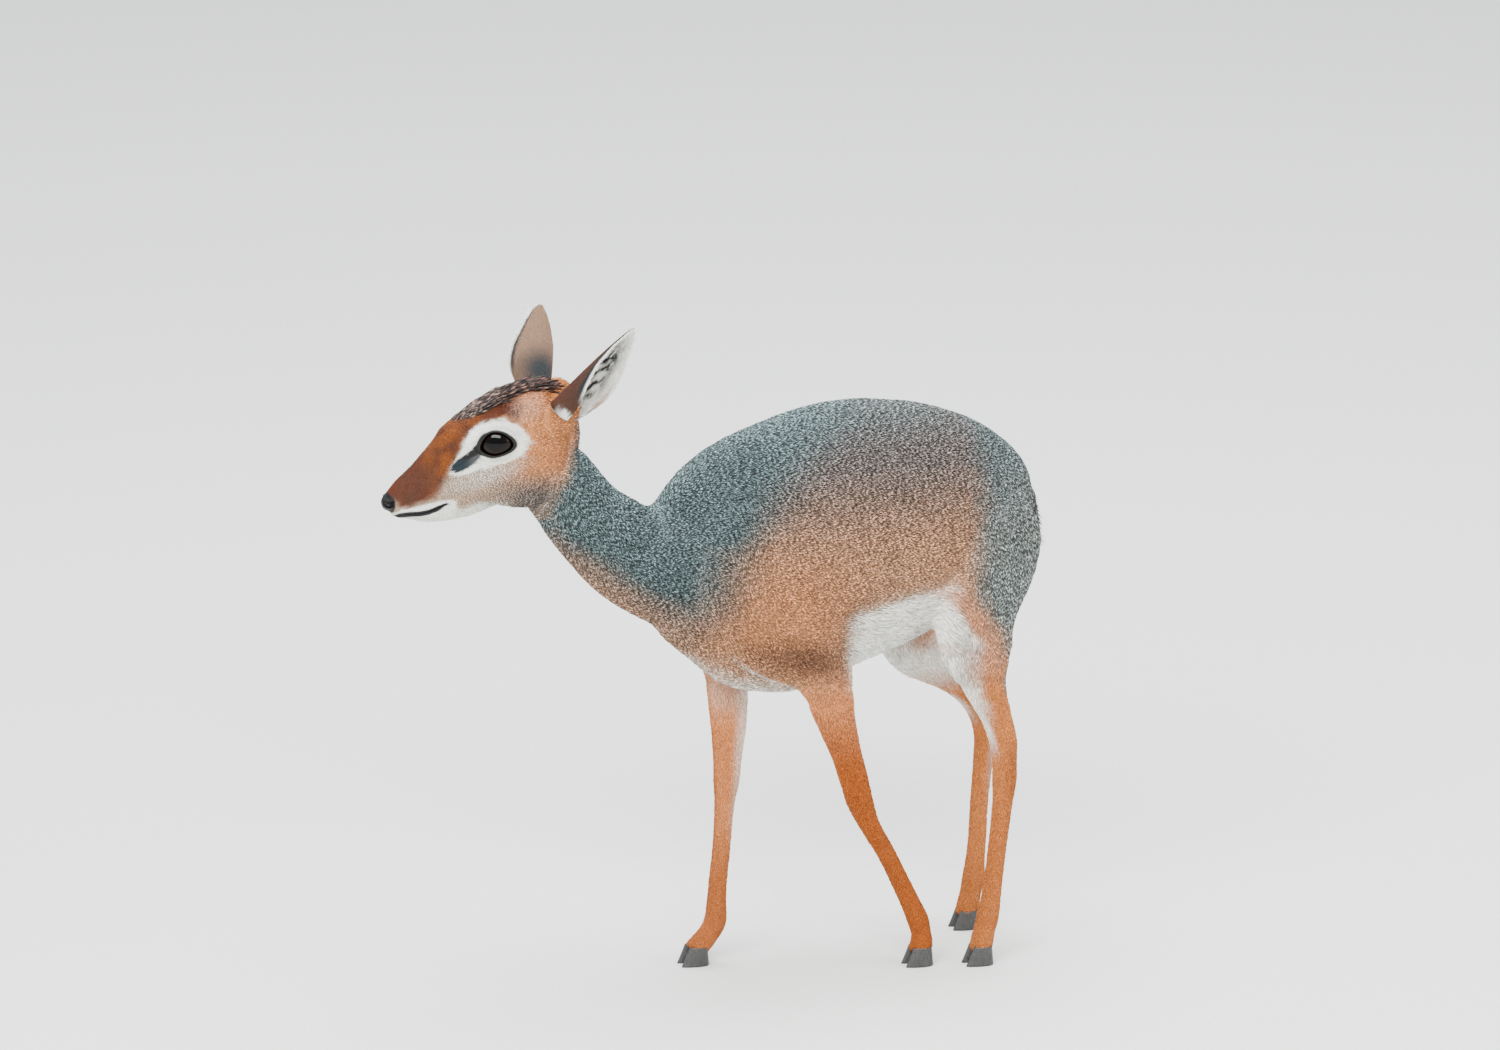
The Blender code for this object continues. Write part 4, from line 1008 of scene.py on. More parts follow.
class EarSheet:
    """One ear as a curled sheet: its root and length, and the ways to its tip, across it and out of it."""

    def __init__(self, root, tip, opening):
        self.root, self.length = root, (tip - root).length
        self.along = (tip - root).normalized()
        self.opening = (opening - self.along * opening.dot(self.along)).normalized()
        self.across = self.along.cross(self.opening)

    def point(self, share, turn, outward):
        """A place on the sheet: turn runs from -1 to 1 across it, outward is metres behind the middle."""
        shares, radii, angles = zip(*EAR_CUP)
        radius = float(np.interp(share, shares, radii)) * MM
        angle = turn * math.radians(float(np.interp(share, shares, angles)))
        back = radii[0] * MM * (1 - share)
        middle = self.root + self.along * self.length * share + self.opening * (radius - back)
        return middle + (self.across * math.sin(angle) - self.opening * math.cos(angle)) * (radius + outward)


EARS = {"left": EarSheet(*LEFT_EAR), "right": EarSheet(*RIGHT_EAR)}


def ear_object(sheet, side, colours):
    """The ear's skin: two faces joined by a round rim, with its markings and lie stored on it."""
    shape = bmesh.new()
    turns = np.sin(np.linspace(-math.pi / 2, math.pi / 2, EAR_COLUMNS))
    grids, rims, notes = [], [], []
    for outward, behind in ((EAR_THICKNESS / 2, 1.0), (-EAR_THICKNESS / 2, 0.0)):
        grid = []
        for share in np.linspace(0, 1, EAR_ROWS):
            pinched = [(turn, outward * min(1.0, 4 * (1 - abs(turn)) + 0.25)) for turn in turns]
            grid.append([shape.verts.new(sheet.point(share, *spot)) for spot in pinched])
            notes += [(share, turn, behind) for turn in turns]
        grids.append(grid)
        rim = [row[0] for row in grid] + grid[-1][1:] + [row[-1] for row in grid[-2::-1]]
        rims.append(rim + grid[0][-2:0:-1])
    for grid, order in zip(grids, (1, -1)):
        for low, high in zip(grid, grid[1:]):
            for j in range(EAR_COLUMNS - 1):
                shape.faces.new((low[j], low[j + 1], high[j + 1], high[j])[::order])
    skin_between(shape, rims)
    item = finished(f"{side}_ear_skin", shape)
    mark_ear(item.data, notes, sheet, side, colours)
    return item


def mark_ear(mesh, notes, sheet, side, colours):
    """Colours, lie and tuft sizes of the ear: brown behind, white and streaked inside, a pale rim."""
    share, turn, behind = np.array(notes).T
    outer_side = behind > 0.5
    near = side == "left"
    aside = np.abs(turn)
    flat = np.column_stack([turn * 4.0, share * 2.6, np.full(len(turn), 5.0 if near else 9.0)])
    veins = np.abs(wander(flat, 0.42, 1.0, 8.0)) + 0.3 * np.abs(wander(flat, 0.17, 1.0, 2.0))
    middle = soft(0.88, 0.5, aside) * soft(0.08, 0.2, share) * soft(0.97, 0.65, share)
    streak = soft(0.46, 0.18, veins) * middle
    patch = oval(turn, share, (0.05, 0.28), (0.55, 0.22), 0.0, 0.8) * (0.3 if near else 0.95)
    line = soft(0.76, 0.86, aside) * soft(0.96, 0.9, aside) * soft(0.2, 0.35, share)
    ragged = share + wander(flat, 0.2, 0.05, 4.0)
    foot = soft(0.1, 0.03, ragged) * soft(-0.5, -0.85, turn) * near
    edge = soft(0.84, 0.94, aside) * soft(0.5, 0.35, share) * soft(0.1, 0.2, share)
    rim = soft(0.9, 0.96, aside) * soft(0.2, 0.4, share)
    outer = mixed(colours, fawn=0.4, orange=0.11)
    if near:
        outer = laid(mixed(colours, rufous=0.95), mixed(colours, umber=0.8), soft(0.1, 0.75, aside))
    for name, weight in (("slate", patch), ("slate", line * 0.9), ("cream", foot)):
        outer = laid(outer, mixed(colours, **{name: 1}), weight)
    inner = mixed(colours, cream=1)
    # The light slate over the middle of the cup is painted shade in its hollow; the tan at its lower sides
    # and the black streaks are the ear's own.
    for name, weight in (("slate", middle * 0.12), ("tan", edge * 0.8), ("black", streak)):
        inner = laid(inner, mixed(colours, **{name: 1}), weight)
    tone = laid(np.where(outer_side[:, None], outer, inner), mixed(colours, cream=1), rim)
    outwards = np.sign(turn)[:, None] * np.array(sheet.across)
    lie = np.array(sheet.along) + (np.where(outer_side, 0.25, 0.4) + 0.7 * rim)[:, None] * outwards
    length = np.where(outer_side, 2.2, 2.4 + 1.6 * soft(0.6, 0.95, aside) + 5.0 * soft(0.3, 0.08, share))
    length = length * (1 - rim) + 3.4 * rim
    store(
        mesh, tone=tone, lie=on_skin(lie, normals_of(mesh)), grizzle=np.where(outer_side, 0.25, 0.06),
        tuft_length=length * MM, tuft_width=0.5 * MM, lift=np.where(outer_side, 0.5, 0.8),
        cover=np.where(outer_side, 1.0, 1.0 - 0.85 * streak), gloss=0, crest=0, on_ear=1,
    )


# The coat's pieces: the distance between tufts in millimetres, and the record's finish
COAT_PIECES = {
    "coat_face": (0.66, "rufous_coat"),
    "coat_crown": (0.74, "rufous_coat"),
    "coat_neck": (0.76, "grizzled_coat"),
    **{
        f"coat_{name}_{side}": (0.8, "grizzled_coat")
        for name in ("fore", "middle", "rear")
        for side in SIDES
    },
    "coat_forelegs": (0.78, "rufous_coat"),
    "coat_hindlegs": (0.78, "rufous_coat"),
    "coat_ears": (0.7, "rufous_coat"),
}
# Where the pieces end, in millimetres: two places along the body, a height, and a place along the head
FORE_END = -62
MIDDLE_END = 30
LEG_TOP = 236
CROWN_START = 88


def nearest_mass(places):
    near = PATHS.nearest(places)
    apart = np.array([near[name][0] for name in PATHS.names])
    return near, apart.argmin(axis=0)


def region_of(places, on_ear):
    """The coat piece that each place belongs to."""
    names = np.array(PATHS.names)[nearest_mass(places)[1]]
    t = into(head_frame(), places)[:, 0]
    x, y, z = places.T
    side = np.where(y < 0, "_left", "_right")
    along = np.where(x < FORE_END, "coat_fore", np.where(x < MIDDLE_END, "coat_middle", "coat_rear"))
    made = np.char.add(along, side).astype("<U20")
    for leg in ("foreleg", "hindleg"):
        made[(z < LEG_TOP) & np.char.endswith(names, leg)] = f"coat_{leg}s"
    made[names == "neck"] = "coat_neck"
    made[(names == "head") & (t >= CROWN_START)] = "coat_crown"
    made[(names == "head") & (t < CROWN_START)] = "coat_face"
    made[on_ear] = "coat_ears"
    return made


def unwrap(places, on_ear):
    """Which flat chart each place lies on, and where there: turn around its mass, and way along it."""
    near, best = nearest_mass(places)
    chart = best.copy()
    spots = np.zeros((len(places), 2))
    for k, name in enumerate(PATHS.names):
        mine = best == k
        _, tangent, share, centre = near[name]
        offset = places[mine] - centre[mine]
        way = tangent[mine]
        side = np.array((0.0, 1.0, 0.0)) - way * way[:, 1:2]
        side /= np.linalg.norm(side, axis=1)[:, None]
        rise = np.cross(way, side)
        spots[mine, 0] = np.arctan2(np.sum(offset * rise, axis=1), np.sum(offset * side, axis=1))
        reach = share[mine] * (len(PATHS.lines[name][0]) - 1) * PATH_STEP
        spots[mine, 1] = reach + np.sum(offset * way, axis=1)
    for k, sheet in enumerate(EARS.values()):
        mine = on_ear & ((places[:, 1] < 5) == (k == 0))
        rest = places[mine] * MM - np.array(sheet.root)
        share = rest @ np.array(sheet.along) / sheet.length
        across = rest @ np.array(sheet.across)
        deep = rest @ np.array(sheet.opening)
        shares, radii, _ = zip(*EAR_CUP)
        radius = np.interp(share, shares, radii) * MM
        middle = radius - radii[0] * MM * (1 - share)
        inside = np.hypot(across, deep - middle) < radius
        chart[mine] = len(PATHS.names) + 2 * k + inside
        spots[mine] = np.column_stack([np.arctan2(across, middle - deep), share])
    return chart, spots


def packed(chart, spots):
    """The charts in use laid side by side on the unit square, each one filling its own cell."""
    used = np.unique(chart)
    columns = math.ceil(math.sqrt(len(used)))
    rows = math.ceil(len(used) / columns)
    made = np.zeros_like(spots)
    for k, name in enumerate(used):
        mine = chart == name
        low, high = spots[mine].min(axis=0), spots[mine].max(axis=0)
        share = 0.015 + 0.97 * (spots[mine] - low) / np.maximum(high - low, 1e-6)
        made[mine] = (share + (k % columns, k // columns)) / (columns, rows)
    return made


def node(tree, kind, links=None, **settings):
    """Adds a node, or takes one, with its settings and its inputs: values, sockets or other nodes."""
    made = kind if isinstance(kind, bpy.types.Node) else tree.nodes.new(kind)
    for name, value in settings.items():
        setattr(made, name, value)
    for name, value in (links or {}).items():
        if isinstance(value, bpy.types.Node):
            value = value.outputs[0]
        if isinstance(value, bpy.types.NodeSocket):
            tree.links.new(value, made.inputs[name])
        else:
            made.inputs[name].default_value = value
    return made


# Sections of a tuft of unit length: place along it, half width, height and thickness
SHORT_TUFT = ((0.34, 0.5, 0.04, 0.12),)
LONG_LOCK = ((0.18, 0.5, 0.03, 0.1), (0.5, 0.44, 0.1, 0.08), (0.78, 0.26, 0.14, 0.06))


def tuft_mesh(sections):
    """A tapered three-sided tuft lying along X, closed by a point at its root and one at its tip."""
    shape = bmesh.new()
    root = shape.verts.new((-0.05, 0.0, -0.06))
    loops = []
    for along, half, height, thick in sections:
        corners = ((along, -half, height), (along, half, height), (along, 0.0, height + thick))
        loops.append([shape.verts.new(corner) for corner in corners])
    tip = shape.verts.new((1.0, 0.0, sections[-1][2] + 0.06))
    skin_between(shape, loops)
    fan(shape, loops[0], root)
    fan(shape, loops[-1], tip)
    bmesh.ops.recalc_face_normals(shape, faces=shape.faces)
    mesh = mesh_from("tuft", shape)
    mesh.shade_smooth()
    along, across, _ = vertices_of(mesh).T
    store(mesh, along=np.clip(along, 0, 1), across=across)
    return mesh


# The coat's inputs with the values they start from
COAT_INPUTS = (
    ("Geometry", "Geometry", None), ("Tuft", "Object", None), ("Spacing", "Float", 0.0012),
    ("Length", "Float", 1.0), ("Width", "Float", 1.0), ("Tumble", "Float", 0.22), ("Seed", "Int", 7),
)
# What is drawn for each tuft: the seed's shift, and the least and greatest value
DRAWS = {
    "tuft_length": (11, 0.75, 1.25),
    "tuft_width": (12, 0.7, 1.3),
    "lift": (13, 0.5, 1.5),
    "shade": (14, 0, 1),
}
# Points tried on each square of skin as wide as the spacing, before those too close are dropped
PACKING = 3.5


def coat_tree(material):
    """Geometry Nodes that set tufts on a patch of skin, along the lie stored on it."""
    tree = bpy.data.node_groups.new("tufts", "GeometryNodeTree")
    add = partial(node, tree)
    tree.interface.new_socket("Geometry", in_out="OUTPUT", socket_type="NodeSocketGeometry")
    for name, kind, value in COAT_INPUTS:
        socket = tree.interface.new_socket(name, in_out="INPUT", socket_type=f"NodeSocket{kind}")
        if value is not None:
            socket.default_value = value
    given = add("NodeGroupInput").outputs
    stored = {}
    for name in ("cover", "tuft_length", "tuft_width", "lift", "lie"):
        kind = FIELDS.get(name, ("FLOAT",))[0]
        stored[name] = add("GeometryNodeInputNamedAttribute", {"Name": name}, data_type=kind)
    drawn = {}
    for name, (shift, low, high) in DRAWS.items():
        seed = add("ShaderNodeMath", {0: given["Seed"], 1: shift}, operation="ADD")
        links = {2: low, 3: high, "Seed": seed}
        drawn[name] = add("FunctionNodeRandomValue", links, data_type="FLOAT").outputs[1]
    square = add("ShaderNodeMath", {0: given["Spacing"], 1: 2.0}, operation="POWER")
    spread = add(
        "GeometryNodeDistributePointsOnFaces",
        {
            "Mesh": given["Geometry"],
            "Distance Min": given["Spacing"],
            "Density Max": add("ShaderNodeMath", {0: PACKING, 1: square}, operation="DIVIDE"),
            "Density Factor": stored["cover"],
            "Seed": given["Seed"],
        },
        distribute_method="POISSON",
    )
    corners = {0: (-1, -1, -1), 1: (1, 1, 1), "Seed": given["Seed"]}
    jitter = add("FunctionNodeRandomValue", corners, data_type="FLOAT_VECTOR")
    wild = add("ShaderNodeVectorMath", {0: jitter, "Scale": given["Tumble"]}, operation="SCALE")
    way = add("ShaderNodeVectorMath", {0: stored["lie"], 1: wild}, operation="ADD")
    turn = add(
        "FunctionNodeAxesToRotation",
        {"Primary Axis": spread.outputs["Normal"], "Secondary Axis": way},
        primary_axis="Z",
        secondary_axis="X",
    )
    sizes = []
    for name, factor in (("tuft_length", given["Length"]), ("tuft_width", given["Width"])):
        varied = add("ShaderNodeMath", {0: stored[name], 1: drawn[name]}, operation="MULTIPLY")
        sizes.append(add("ShaderNodeMath", {0: varied, 1: factor}, operation="MULTIPLY"))
    rise = add("ShaderNodeMath", {0: stored["lift"], 1: drawn["lift"]}, operation="MULTIPLY")
    sizes.append(add("ShaderNodeMath", {0: sizes[0], 1: rise}, operation="MULTIPLY"))
    source = add("GeometryNodeObjectInfo", {"Object": given["Tuft"]})
    placed = add(
        "GeometryNodeInstanceOnPoints",
        {
            "Points": spread,
            "Instance": source.outputs["Geometry"],
            "Rotation": turn,
            "Scale": add("ShaderNodeCombineXYZ", dict(enumerate(sizes))),
        },
    )
    root = add("GeometryNodeInputPosition")
    for name, value, kind in (("shade", drawn["shade"], "FLOAT"), ("root", root, "FLOAT_VECTOR")):
        links = {"Geometry": placed, "Name": name, "Value": value}
        placed = add("GeometryNodeStoreNamedAttribute", links, data_type=kind, domain="INSTANCE")
    real = add("GeometryNodeRealizeInstances", {"Geometry": placed})
    add("NodeGroupOutput", {0: add("GeometryNodeSetMaterial", {"Geometry": real, "Material": material})})
    return tree


def patch_of(mesh, keep):
    """The faces of the skin whose first corner is kept, as a mesh with the skin's attributes."""
    shape = bmesh.new()
    shape.from_mesh(mesh)
    shape.verts.ensure_lookup_table()
    lost = [face for face in shape.faces if not keep[face.verts[0].index]]
    bmesh.ops.delete(shape, geom=lost, context="FACES")
    return mesh_from("patch", shape)


# The width of a tuft's patch on the unwrap, as a share of the unit square
BAKE_PATCH = 0.003


def bake_map(mesh, shift, on_ears):
    """Lays each tuft in a small patch at its root's place on the unwrap."""
    roots = (read(mesh, "root") - np.array(shift)) / MM
    spots = packed(*unwrap(roots.astype(float), np.full(len(roots), on_ears)))
    inside = np.column_stack([read(mesh, "across"), read(mesh, "along")]) - np.array((0.0, 0.5))
    spots += inside * BAKE_PATCH
    corners = np.empty(len(mesh.loops), np.int32)
    mesh.loops.foreach_get("vertex_index", corners)
    layer = mesh.uv_layers.new(name="OFBake")
    layer.data.foreach_set("uv", spots[corners].astype(np.float32).ravel())


def per_metre(size):
    """The scale of a pattern whose cells measure this many millimetres."""
    return 1 / (size * MM)


def new_material(name, roughness, specular=0.5):
    """A material with its shader's constants set: the material, what adds its nodes, and its shader."""
    made = bpy.data.materials.new(name)
    made.use_nodes = True
    add = partial(node, made.node_tree)
    constants = {"Roughness": roughness, "Specular IOR Level": specular}
    return made, add, add(made.node_tree.nodes["Principled BSDF"], constants)


def set_stops(ramp, stops):
    """Gives a ramp's node these places and colours."""
    elements = ramp.color_ramp.elements
    for element, (place, colour) in zip(elements, (stops[0], stops[-1])):
        element.position, element.color = place, (*colour, 1)
    for place, colour in stops[1:-1]:
        elements.new(place).color = (*colour, 1)


# Share of the tone along one band of a hair, from its dark start over the pale middle to its dark end
HAIR_BANDS = ((0, 0.16), (0.22, 0.16), (0.38, 0.5), (0.48, 2), (0.62, 2.5), (0.74, 0.7), (0.84, 0.2))
# How often the bands repeat along a hair, and the width in millimetres of the hairs that share a tick
BANDS_ON_A_HAIR = 1.6
TICK_SIZE = 1.4


def coat_material():
    # Guard hair: keratin grown in dark and pale bands, which makes the coat salt and pepper. Where the
    # bands of neighbouring hairs line up, ticks show. Its overlapping scales leave it soft, not glossy.
    made, add, shader = new_material("banded_hair", 0.6, 0.3)
    names = ("tone", "shade", "along", "root", "grizzle")
    found = {name: add("ShaderNodeAttribute", attribute_name=name).outputs for name in names}
    shade, along = found["shade"]["Fac"], found["along"]["Fac"]
    clump = {"Vector": found["root"]["Vector"], "Scale": per_metre(TICK_SIZE), "Detail": 0.0}
    phase = add("ShaderNodeMath", {0: along, 1: BANDS_ON_A_HAIR}, operation="MULTIPLY")
    for value, share in ((shade, 0.75), (add("ShaderNodeTexNoise", clump), 1.5)):
        shift = add("ShaderNodeMath", {0: value, 1: share}, operation="MULTIPLY")
        phase = add("ShaderNodeMath", {0: phase, 1: shift}, operation="ADD")
    bands = add("ShaderNodeValToRGB", {"Fac": add("ShaderNodeMath", {0: phase}, operation="FRACT")})
    set_stops(bands, [(place, (share,) * 3) for place, share in HAIR_BANDS])
    strength = add("ShaderNodeMapRange", {"Value": shade, "To Min": 0.5, "To Max": 1.45})
    banded = add("ShaderNodeVectorMath", {0: bands, "Scale": strength}, operation="SCALE")
    ticked = {0: found["grizzle"]["Fac"], 6: found["tone"]["Color"], 7: banded}
    colour = add("ShaderNodeMix", ticked, data_type="RGBA", blend_type="MULTIPLY").outputs[2]
    for value, low, high in ((along, 0.7, 1.14), (shade, 0.88, 1.12)):
        factor = add("ShaderNodeMapRange", {"Value": value, "To Min": low, "To Max": high})
        colour = add("ShaderNodeVectorMath", {0: colour, "Scale": factor}, operation="SCALE")
    add(shader, {"Base Color": colour})
    return made


def skin_material():
    # Hide: soft pored skin, seen through the hair as its deepened colour. Where it is bare it is moist,
    # on nose, lids, lips and gland, and pebbled in cells of about 0.9 mm.
    made, add, shader = new_material("moist_hide", 0.8, 0.25)
    tone, gloss = (add("ShaderNodeAttribute", attribute_name=name).outputs for name in ("tone", "gloss"))
    place = add("ShaderNodeTexCoord").outputs["Object"]
    grain = add("ShaderNodeTexNoise", {"Vector": place, "Scale": per_metre(1.1), "Detail": 3.0})
    dark = add("ShaderNodeMapRange", {"Value": grain, "To Min": 0.35, "To Max": 0.85})
    pebble = add("ShaderNodeTexVoronoi", {"Vector": place, "Scale": per_metre(0.9)})
    relief = {"Height": pebble.outputs["Distance"], "Strength": 0.35, "Distance": 0.4 * MM}
    links = {
        "Base Color": add("ShaderNodeVectorMath", {0: tone["Color"], "Scale": dark}, operation="SCALE"),
        "Roughness": add("ShaderNodeMapRange", {"Value": gloss["Fac"], "To Min": 0.8, "To Max": 0.4}),
        "Normal": add("ShaderNodeBump", relief),
    }
    add(shader, links)
    return made


def paper_material():
    # Backdrop paper: pressed wood pulp, matt and even, with a faint mottle of fibres some 4 mm across.
    made, add, shader = new_material("backdrop_paper", 0.9, 0.2)
    place = add("ShaderNodeTexCoord").outputs["Object"]
    fibres = add("ShaderNodeTexNoise", {"Vector": place, "Scale": per_metre(4.0), "Detail": 2.0})
    colour = add("ShaderNodeValToRGB", {"Fac": fibres})
    set_stops(colour, [(0.3, linear("#D6D7D3")), (0.7, linear("#DCDDD9"))])
    add(shader, {"Base Color": colour})
    return made


def place_piece(item, slot, *replaced):
    """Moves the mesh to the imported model's frame and fixes the piece to its body."""
    item.data.transform(item.matrix_world)
    item.matrix_world = Matrix.Identity(4)
    item.data.transform(Matrix.Translation(model_shift()))
    item.data.update()
    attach(item, "root")
    if replaced:
        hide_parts(*replaced)


def coated(item, material):
    """Gives the mesh its only material and smooth shading."""
    item.data.materials.clear()
    item.data.materials.append(material)
    item.data.shade_smooth()


class DIKDIK_OT_skin(bpy.types.Operator):
    """Builds the skin: the whole body in one surface, with both ears"""

    bl_idname = "dikdik.skin"
    bl_label = "Skin"

    def execute(self, context):
        colours = context.scene.dikdik_colours
        item = whole_body()
        modify(item, "DECIMATE", ratio=SKIN_SHARE)
        apply_modifiers(item)
        shaped_skin(item)
        places, normals = vertices_of(item.data) / MM, normals_of(item.data)
        skin = Skin(colours, places, normals)
        dress(item.data, skin, skin.around_eyes(lie_of_coat(places, normals, skin.near)))
        ears = [ear_object(sheet, side, colours) for side, sheet in EARS.items()]
        with context.temp_override(active_object=item, selected_editable_objects=[item, *ears]):
            bpy.ops.object.join()
        item.name = "skin"
        coated(item, skin_material())
        place_piece(item, "rufous_coat", *FLESH)
        return {"FINISHED"}


class DIKDIK_OT_coat(bpy.types.Operator):
    """Covers one part of the skin with tufts"""

    bl_idname = "dikdik.coat"
    bl_label = "Coat"
    part: EnumProperty(
        name="Part",
        description="Part of the coat to make",
        items=[(name, name.replace("_", " "), name) for name in COAT_PIECES],
    )

    def execute(self, context):
        skin = bpy.data.objects["skin"]
        spacing, slot = COAT_PIECES[self.part]
        places = (vertices_of(skin.data) - np.array(model_shift())) / MM
        on_ear = read(skin.data, "on_ear") > 0.5
        keep = region_of(places, on_ear) == self.part
        tufted(self.part, patch_of(skin.data, keep), SHORT_TUFT, spacing)
        return {"FINISHED"}


def tufted(name, patch, sections, spacing):
    """Sets tufts of these sections on a patch of skin, and makes them one plain mesh."""
    sizes = bpy.context.scene.dikdik_sizes
    item = new_object(name, patch)
    tree = coat_tree(bpy.data.materials.get("banded_hair") or coat_material())
    values = {
        "Tuft": new_object("tuft", tuft_mesh(sections)),
        "Spacing": spacing * MM,
        "Length": sizes.length,
        "Width": sizes.width,
        "Seed": sizes.seed,
    }
    modifier = modify(item, "NODES", node_group=tree)
    for socket in tree.interface.items_tree:
        if socket.in_out == "INPUT" and socket.name in values:
            modifier[socket.identifier] = values[socket.name]
    apply_modifiers(item)
    bpy.data.objects.remove(values["Tuft"])
    bake_map(item.data, model_shift(), name == "coat_ears")
    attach(item, "root")


# The least share of crest where a lock grows, and the distance between locks in millimetres
CREST_SHARE = 0.1
CREST_SPACING = 0.78


class DIKDIK_OT_crest(bpy.types.Operator):
    """Sets the long dark locks of the crest along the crown"""

    bl_idname = "dikdik.crest"
    bl_label = "Crest"

    def execute(self, context):
        skin = bpy.data.objects["skin"]
        colours = context.scene.dikdik_colours
        patch = patch_of(skin.data, read(skin.data, "crest") > CREST_SHARE)
        t = into(head_frame(), (vertices_of(patch) - np.array(model_shift())) / MM)[:, 0]
        front, back = mixed(colours, umber=0.5, dun=0.5), mixed(colours, umber=0.55, slate=0.35)
        store(
            patch, tone=laid(front, back, soft(66, 100, t)), tuft_width=0.45 * MM, grizzle=1,
            tuft_length=np.interp(t, (56, 66, 85, 110, 128), (6, 10, 15, 18, 15)) * MM,
            lift=np.interp(t, (56, 80, 128), (0.35, 0.75, 1.1)), cover=read(patch, "crest"),
        )
        tufted("crest", patch, LONG_LOCK, CREST_SPACING)
        return {"FINISHED"}


# The wide pupil's half width and half height in millimetres, and how far the cornea bulges as a share
PUPIL = (7.0, 4.6)
CORNEA_BULGE = 0.02


def eyeball(colours):
    """The right eyeball with its bulging cornea, coloured outwards from a wide oval pupil."""
    shape = bmesh.new()
    bmesh.ops.create_uvsphere(shape, u_segments=72, v_segments=48, radius=EYEBALL_RADIUS)
    item = finished("eyeball", shape)
    mesh = item.data
    places = vertices_of(mesh)
    away = np.arccos(np.clip(places[:, 2] / EYEBALL_RADIUS, -1, 1))
    places *= (1 + CORNEA_BULGE * soft(1.0, 0.3, away))[:, None]
    mesh.vertices.foreach_set("co", places.astype(np.float32).ravel())
    pupil = np.hypot(places[:, 0] / PUPIL[0], places[:, 1] / PUPIL[1]) / MM
    iris = soft(0.85, 1.1, pupil) * soft(1.0, 0.8, away)
    dark, brown = np.array(linear("#020202")), mixed(colours, umber=0.05)
    store(mesh, tone=dark + (brown - dark) * iris[:, None])
    mesh.transform(head_frame() @ eye_frame() @ Matrix.Translation(EYEBALL_SINK))
    return item


def eye_material():
    # Cornea under tears: a clear dome over a dark iris, whose wet film mirrors the sky or the lamps.
    made, add, shader = new_material("wet_cornea", 0.03, 0.21)
    add(shader, {"Base Color": add("ShaderNodeAttribute", attribute_name="tone"), "IOR": 1.376})
    return made


class DIKDIK_OT_eyes(bpy.types.Operator):
    """Builds the eyeballs and the dark moist edges of the lids"""

    bl_idname = "dikdik.eyes"
    bl_label = "Eyes"

    def execute(self, context):
        wet = eye_material()
        rim = bpy.data.materials["moist_hide"]
        colours = context.scene.dikdik_colours
        placed = head_frame()
        mirror = placed @ Matrix.Diagonal((1, -1, 1, 1)) @ placed.inverted()
        for side in ("right", "left"):
            eye, lid = eyeball(colours), lid_edge()
            lid.data.transform(placed)
            store(lid.data, tone=colours.black, gloss=1)
            for item, name, finish in ((eye, f"{side}_eyeball", wet), (lid, f"{side}_lid_edge", rim)):
                if side == "left":
                    item.data.transform(mirror)
                    item.data.flip_normals()
                item.name = name
                coated(item, finish)
            place_piece(eye, "eye", f"{side}_eye")
            place_piece(lid, "rufous_coat")
        return {"FINISHED"}


# Where each foot stands, in millimetres in the sections' frame
FEET = {"left_fore": (34, -36), "right_fore": (-116, 19), "left_hind": (75, -49), "right_hind": (95, 31)}
# A claw's height, its toe and heel on the ground, half its width, and its middle's place beside the foot's
CLAW_HEIGHT = 14.0
CLAW_TOE = -12.4
CLAW_HEEL = 8.6
CLAW_HALF = 4.15
CLAW_ASIDE = 4.9
CLAW_ROWS = 22
CLAW_POINTS = 36
# The growth rings of the wall: the distance between them and how far they stand out
RING_SPACING = 1.9
RING_RELIEF = 0.16


def claw(shape, foot, side):
    """One claw: pointed toe, round heel, flat to its fellow, with the wall's growth rings."""
    loops = []
    for height in np.linspace(0, CLAW_HEIGHT, CLAW_ROWS):
        share = height / CLAW_HEIGHT
        ring = RING_RELIEF * math.cos(2 * math.pi * height / RING_SPACING) * (share > 0.08)
        sole = -0.5 * (height < 0.01)
        toe = CLAW_TOE + 6.2 * share**0.9 - ring - sole
        heel = CLAW_HEEL - 1.2 * share + ring * 0.5 + sole
        half = CLAW_HALF * (1 - 0.12 * share) + ring + sole
        loop = []
        for angle in circle(CLAW_POINTS):
            front = math.cos(angle)
            x = (toe + heel) / 2 - front * (heel - toe) / 2
            across = half * math.sin(angle) * (1 - 0.4 * front)
            if across * side < 0:
                across *= 0.8
            spot = Vector((foot[0] + x, foot[1] + side * CLAW_ASIDE + across, height))
            loop.append(shape.verts.new(spot * MM))
        loops.append(loop)
    skin_between(shape, loops, closed=True)


def horn_material():
    # Hoof horn: keratin tubules packed upright and laid down in rings, slate black with a dull polish.
    # The tubules are 0.2 mm wide and are drawn at 0.55 mm so that the grain shows.
    made, add, shader = new_material("hoof_horn", 0.48)
    place = add("ShaderNodeTexCoord").outputs["Object"]
    upright_grain = add("ShaderNodeMapping", {"Vector": place, "Scale": (1.0, 1.0, 0.12)})
    grain = add("ShaderNodeTexNoise", {"Vector": upright_grain, "Scale": per_metre(0.55), "Detail": 4.0})
    colour = add("ShaderNodeValToRGB", {"Fac": grain})
    set_stops(colour, [(0.3, linear("#161718")), (0.75, linear("#3C3A39"))])
    bump = add("ShaderNodeBump", {"Height": grain, "Strength": 0.4, "Distance": 0.3 * MM})
    add(shader, {"Base Color": colour, "Normal": bump})
    return made


